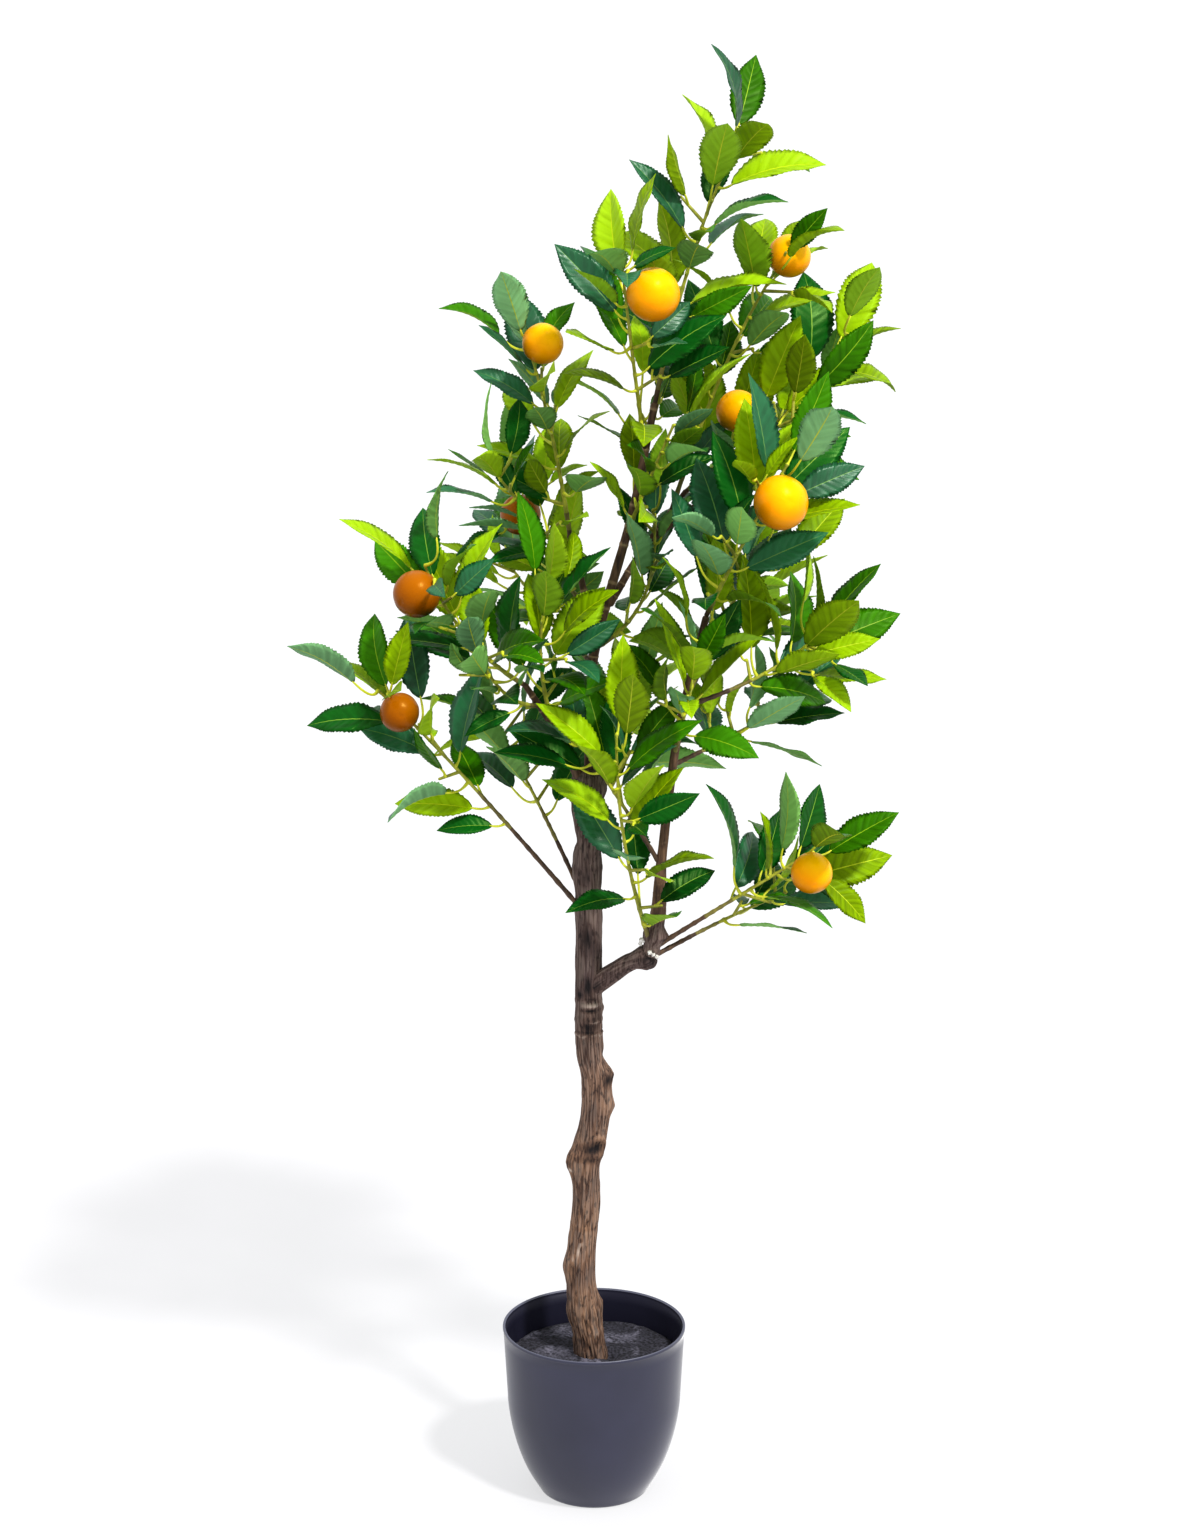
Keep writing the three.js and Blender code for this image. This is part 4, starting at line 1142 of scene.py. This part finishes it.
def blade_index():
    """Point numbers of a blade's upper and lower grids, which share the points of its margin."""
    rows, columns = len(ROWS), len(ACROSS)
    upper = np.arange(rows * columns).reshape(rows, columns)
    lower = upper.copy()
    lower[1:-1, 1:-1] = rows * columns + np.arange((rows - 2) * (columns - 2)).reshape(rows - 2, -1)
    return upper, lower


UPPER, LOWER = blade_index()
UPPER_FACES, LOWER_FACES = quads(UPPER), quads(LOWER)[:, ::-1]
MIDRIB = np.zeros((len(ROWS) - 1, len(ACROSS) - 1), bool)
MIDRIB[:, len(ACROSS) // 2 - 1] = True


def add_blade(build, leaf, kind, draw):
    """A thin closed blade with slanting veins, a toothed and wavy margin and a rib underneath."""
    across = np.broadcast_to(ACROSS, UPPER.shape)
    along = ROWS[:, None] + ROW_SLANT * abs(across) * (ROWS * (1 - ROWS))[:, None]
    tooth = np.where(np.arange(len(ROWS)) % 2, TOOTH[1], TOOTH[0])[:, None] * (abs(across) == 1)
    middle, up = blade_line(leaf, along)
    twist = draw.between(*TWIST) * along[..., None]
    side = np.cos(twist) * leaf.side + np.sin(twist) * up
    up = np.cos(twist) * up - np.sin(twist) * leaf.side
    waist = 1 - TIP_WAIST * np.exp(-(((1 - along) / TIP_REACH) ** 2))
    half = 0.5 * leaf.length * leaf.wide * DRESSED_WIDTH * half_width(along) * waist * (1 + tooth)
    spread, half = across[..., None], half[..., None]
    fold = leaf.fold * DRESSED_FOLD
    points = middle + spread * half * cos(fold) * side + abs(spread) * half * sin(fold) * up
    waves = draw.between(*WAVE_COUNT) * along + draw.next() + WAVE_LAG * np.sign(across)
    wave = draw.between(*WAVE_SIZE) * np.sin(2 * pi * waves) * across**2 * np.sin(pi * along)
    near_vein = np.min(abs(ROWS[:, None] - VEINS[None]), axis=1) * 2 / (VEINS[1] - VEINS[0])
    puff = VEIN_SINK * (2 * np.minimum(near_vein, 1) - 1)[:, None] * (1 - across**4)
    lifted = points + (wave + puff)[..., None] * up
    rib = abs(across) < RIB_HALF
    upper = lifted + np.where(rib, THICKNESS / 2 - MIDRIB_SINK, THICKNESS / 2)[..., None] * up
    depth = np.where(rib, mix(RIB_FOOT, RIB_TIP, along), 0) + THICKNESS / 2
    lower = lifted - depth[..., None] * up
    border = np.ones(UPPER.shape, bool)
    border[1:-1, 1:-1] = False
    upper[border] = lifted[border]
    # Painted shade and light: darker at the foot and paler at the tip, paler at the margin and darker towards
    # the midrib
    tone = draw.between(*LEAF_TONE) + FOOT_SHADE_RISE * (along - FOOT_SHADE_MIDDLE)
    tone = tone + MARGIN_SHADE * (across**2 - MARGIN_MEAN)
    tone += VEIN_TONE * (near_vein < VEIN_REACH)[:, None] * VEIN_SIGN[kind]
    streaks = ROWS[:, None] * STREAK_COUNT + np.sign(across) * STREAK_LAG + leaf.foot.sum()
    tone += STREAK_TONE * np.sin(streaks)
    base = kind * 4
    build.add(
        np.vstack([upper.reshape(-1, 3), lower[1:-1, 1:-1].reshape(-1, 3)]),
        (UPPER_FACES, np.where(MIDRIB, base + 1, base).ravel()),
        (LOWER_FACES, np.where(MIDRIB, base + 3, base + 2).ravel()),
        tones=np.concatenate([tone.ravel(), tone[1:-1, 1:-1].ravel()]),
    )


def add_petiole(build, leaf):
    """A stalk that leaves the stem sideways and turns into the blade's midrib."""
    reach = np.linalg.norm(leaf.foot - leaf.root)
    line = bezier([
        leaf.root,
        leaf.root + 0.5 * reach * leaf.out,
        leaf.foot - 0.4 * reach * leaf.heading,
        leaf.foot + 2.5 * leaf.heading,
    ], 8)
    radii = np.interp(np.linspace(0, 1, 9), *PETIOLE_RADII)
    tube(build, line, radii, 7, PETIOLE_GREEN)


def add_stem(build, grown, draw):
    """A mass's stem: brown, olive and then green, with a swelling where a leaf stands or stood."""
    mass = grown.mass
    places = np.linspace(0, 1, STEM_STEPS + 1)
    line = bezier(grown.stem, STEM_STEPS)
    length = np.linalg.norm(np.diff(line, axis=0), axis=1).sum()
    scars = np.cumsum([draw.between(*SCAR_GAP) / length for _ in range(SCARS)])
    nodes = np.concatenate([scars[scars < mass.first], mix(mass.first, 1, np.linspace(0, 1, mass.leaves))])
    near = np.exp(-(((places[:, None] - nodes) * length / SWELLING_LENGTH) ** 2)).sum(1)
    radii = np.interp(places, *STEM_RADII) + SWELLING * near
    brown = mass.first * (draw.between(*BROWN_SHARE) if mass.first > SHORT_BARE else BROWN_SHARE_SHORT)
    olive = brown + OLIVE_SHARE * mass.first + OLIVE_LEAST
    looks = np.select([places[:-1] < brown, places[:-1] < olive], [BROWN, OLIVE], GREEN)
    tube(build, line, radii, STEM_SIDES, looks)


def add_fine_twig(build, points):
    tube(build, bezier(points, 8), np.linspace(*FINE_RADII, 9), 7, GREEN)


def add_fruit(build, stem, at, centre, diameter, seed):
    """A pored orange with a small green calyx where its stalk meets it. Those on the left are painted darker
    as shade.
    """
    centre = np.array(centre, float)
    radius = diameter / 2
    root = stem_point(stem, at)
    pole = unit(root - centre)
    first = square_to(UP if abs(pole[2]) < 0.9 else BACK, pole)
    second = np.cross(pole, first)
    points, tones = [], []
    for fall in np.linspace(0.02, pi - 0.02, FRUIT_RINGS)[::-1]:
        dips = sum(depth * exp(-(((fall - place) / wide) ** 2)) for place, depth, wide in DIMPLES)
        flat = 1 - FRUIT_FLAT * cos(fall) ** 2
        for turn in even_turns(FRUIT_SIDES):
            way = cos(fall) * pole + sin(fall) * (cos(turn) * first + sin(turn) * second)
            # Painted light and shade: paler towards the key light, deeper away from it
            tones.append(LIT_SIDE_TONE[0] * (way @ LIT_SIDE) + LIT_SIDE_TONE[1])
            pores = PORES[0] * rough(*(way * radius / PORES[1] + seed))
            pores += PEEL_LUMPS[0] * rough(*(way * PEEL_LUMPS[1] + seed))
            points.append(centre + way * (radius * flat + pores - dips))
    add_rings(build, np.array(points), FRUIT_SIDES, SHADED_PEEL if centre[0] < SHADED_LEFT_OF else PEEL, tones)
    seat = centre + pole * (radius * SEAT_SHARE - SEAT_SINK)
    lobes = 1 + LOBE_DEPTH * np.cos(CALYX_LOBES * even_turns(CALYX_SIDES))
    shape = CALYX_RADII[:, None] * np.where(CALYX_RADII[:, None] > 2, lobes, 1)
    tube(build, seat + CALYX_LEVELS[:, None] * pole, shape, CALYX_SIDES, CALYX, round_ends=False)
    bend = mix(seat, root, 0.5) + STALK_BEND * np.linalg.norm(root - seat) * UP
    tube(build, bezier([root, bend, seat], 10), np.full(11, FRUIT_STALK), 8, CALYX)


def grow_crown():
    space = space_of_frame()
    crown = [Grown(mass, stem_of(mass), [], []) for mass in MASSES]
    for owner, grown in enumerate(crown):
        grow_leaves(grown, owner, space)
    for owner, grown in enumerate(crown):
        grow_fine_twigs(grown, owner, space)
        grow_low_leaves(grown, owner, space)
    return {grown.mass.name: grown for grown in crown}


def leaf_kind(light, draw):
    """Which kind a leaf is. Light leaves are fresh or yellow-green, and the others dark or bluish."""
    if light:
        return KIND_NAMES.index("light" if draw.next() < YELLOW_SHARE else "fresh")
    return KIND_NAMES.index("dark" if draw.next() < DARK_SHARE else "blue")


def make_glue():
    """Drops of hard glue where green twigs are stuck to the arm and the trunk."""
    build = Build()
    for centre, size in GLUE_DROPS:
        points = []
        for fall in np.linspace(pi - 0.05, 0.05, GLUE_RINGS):
            for turn in even_turns(GLUE_SIDES):
                way = np.array([sin(fall) * cos(turn), sin(fall) * sin(turn), cos(fall)])
                points.append(np.array(centre) + way * size * (1 + 0.6 * rough(*(way * 1.6 + centre[2]))))
        add_rings(build, np.array(points), GLUE_SIDES)
    look = mottled("glue", srgb(188, 184, 178), srgb(232, 230, 226), 500, 0.3, 600, 0.1)
    build.make("glue_drops", "foliage", [look])


def make_crown():
    crown = grow_crown()
    leaf_looks = leaf_materials()
    twig_looks = [
        mottled("twig_brown", srgb(60, 43, 33), srgb(104, 80, 58), 220, 0.6, 1500, 0.2, stretch=(1, 1, 0.3)),
        mottled("twig_green", srgb(134, 138, 44), srgb(184, 184, 62), 160, 0.5, 1400, 0.12),
        mottled("petiole_green", srgb(184, 190, 40), srgb(222, 224, 60), 120, 0.5, 1400, 0.1),
        mottled("twig_olive", srgb(96, 86, 46), srgb(142, 134, 64), 200, 0.55, 1500, 0.15,
                stretch=(1, 1, 0.4)),
    ]
    fruit_looks = [
        peel_material("orange_peel", srgb(240, 150, 0), srgb(248, 170, 0), srgb(255, 200, 0), 0.5,
                      (1, 0.82, 0.12, 1)),
        mottled("calyx_green", srgb(120, 146, 44), srgb(160, 174, 60), 200, 0.6, 1200, 0.1),
        # A darker peel for the fruit on the left: painted shade
        peel_material("orange_peel_painted_shade", srgb(148, 80, 0), srgb(164, 92, 0), srgb(178, 106, 0), 0.3,
                      (1, 0.7, 0.2, 1)),
    ]
    fruit = Build()
    bearers = []
    for region, members in REGIONS.items():
        names = [f"foliage_{member}" for member in members]
        leaves, twigs = Build(), Build()
        for name in names:
            grown = crown[name]
            draw = Draw(grown.mass.seed + DRESS_SEED)
            add_stem(twigs, grown, draw)
            for twig in grown.twigs:
                add_fine_twig(twigs, twig)
            for leaf in grown.leaves:
                add_petiole(twigs, leaf)
                add_blade(leaves, leaf, leaf_kind(leaf.light, draw), draw)
            for at, centre, diameter in grown.mass.fruit:
                add_fruit(fruit, grown.stem, at, centre, diameter, grown.mass.seed)
                bearers.append(name)
        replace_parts(leaves.make(f"leaves_{region}", "foliage", leaf_looks), *names)
        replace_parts(twigs.make(f"twigs_{region}", "foliage", twig_looks), *names)
    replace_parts(fruit.make("oranges", "foliage", fruit_looks), *bearers)


# Stage
def make_stage():
    half = FLOOR_SIZE / 2
    corners = [(-half, -half, 0), (half, -half, 0), (half, half, 0), (-half, half, 0)]
    mesh = bpy.data.meshes.new("floor")
    mesh.from_pydata(np.array(corners) * MM, [], [(0, 1, 2, 3)])
    shader = Shader("floor_white")
    shader.set(Base_Color=shader.blend(shader.noise(0.6, 2), *FLOOR_GREYS), Roughness=0.9,
               Specular_IOR_Level=0.1, Emission_Color=(1, 1, 1, 1), Emission_Strength=FLOOR_GLOW)
    mesh.materials.append(shader.material)
    floor = add_object("floor", mesh)


def make_lights():
    scene = bpy.context.scene
    scene.world = bpy.data.worlds.new("studio")
    scene.world.use_nodes = True
    sky = scene.world.node_tree.nodes["Background"]
    sky.inputs["Color"].default_value = SKY_COLOUR
    sky.inputs["Strength"].default_value = SKY_STRENGTH
    sun = add_object("key_light", bpy.data.lights.new("key_light", "SUN"))
    sun.data.energy = SUN_STRENGTH
    sun.data.angle = SUN_ANGLE
    sun.data.color = SUN_COLOUR
    sun.rotation_euler = Vector(SUN_TOWARDS).to_track_quat("-Z", "Y").to_euler()
    scene.view_settings.view_transform = "Standard"
    scene.view_settings.gamma = PRINT_GAMMA


def make_camera():
    camera = add_object("camera", bpy.data.cameras.new("camera"))
    camera.location = Vector(CAMERA_PLACE) * MM
    camera.rotation_euler = Euler((pi / 2 - CAMERA_PITCH, 0, 0))
    camera.data.lens = CAMERA_LENS
    camera.data.sensor_width = CAMERA_SENSOR
    camera.data.clip_end = CAMERA_REACH
    bpy.context.scene.camera = camera


make_camera()
make_lights()
make_stage()
make_pot()
make_fill()
bark_look, twig_look = bark_material(), twig_material()
make_trunk(bark_look)
make_thick_bough("side_arm", [bark_look, bark_look], *THICK_BOUGHS["side_arm"])
make_thick_bough("right_bough", [bark_look, twig_look], *THICK_BOUGHS["right_bough"])
for limb in ("leader", "left_fork", "right_fork", "left_bough"):
    make_bough(limb, twig_look)
make_glue()
make_crown()
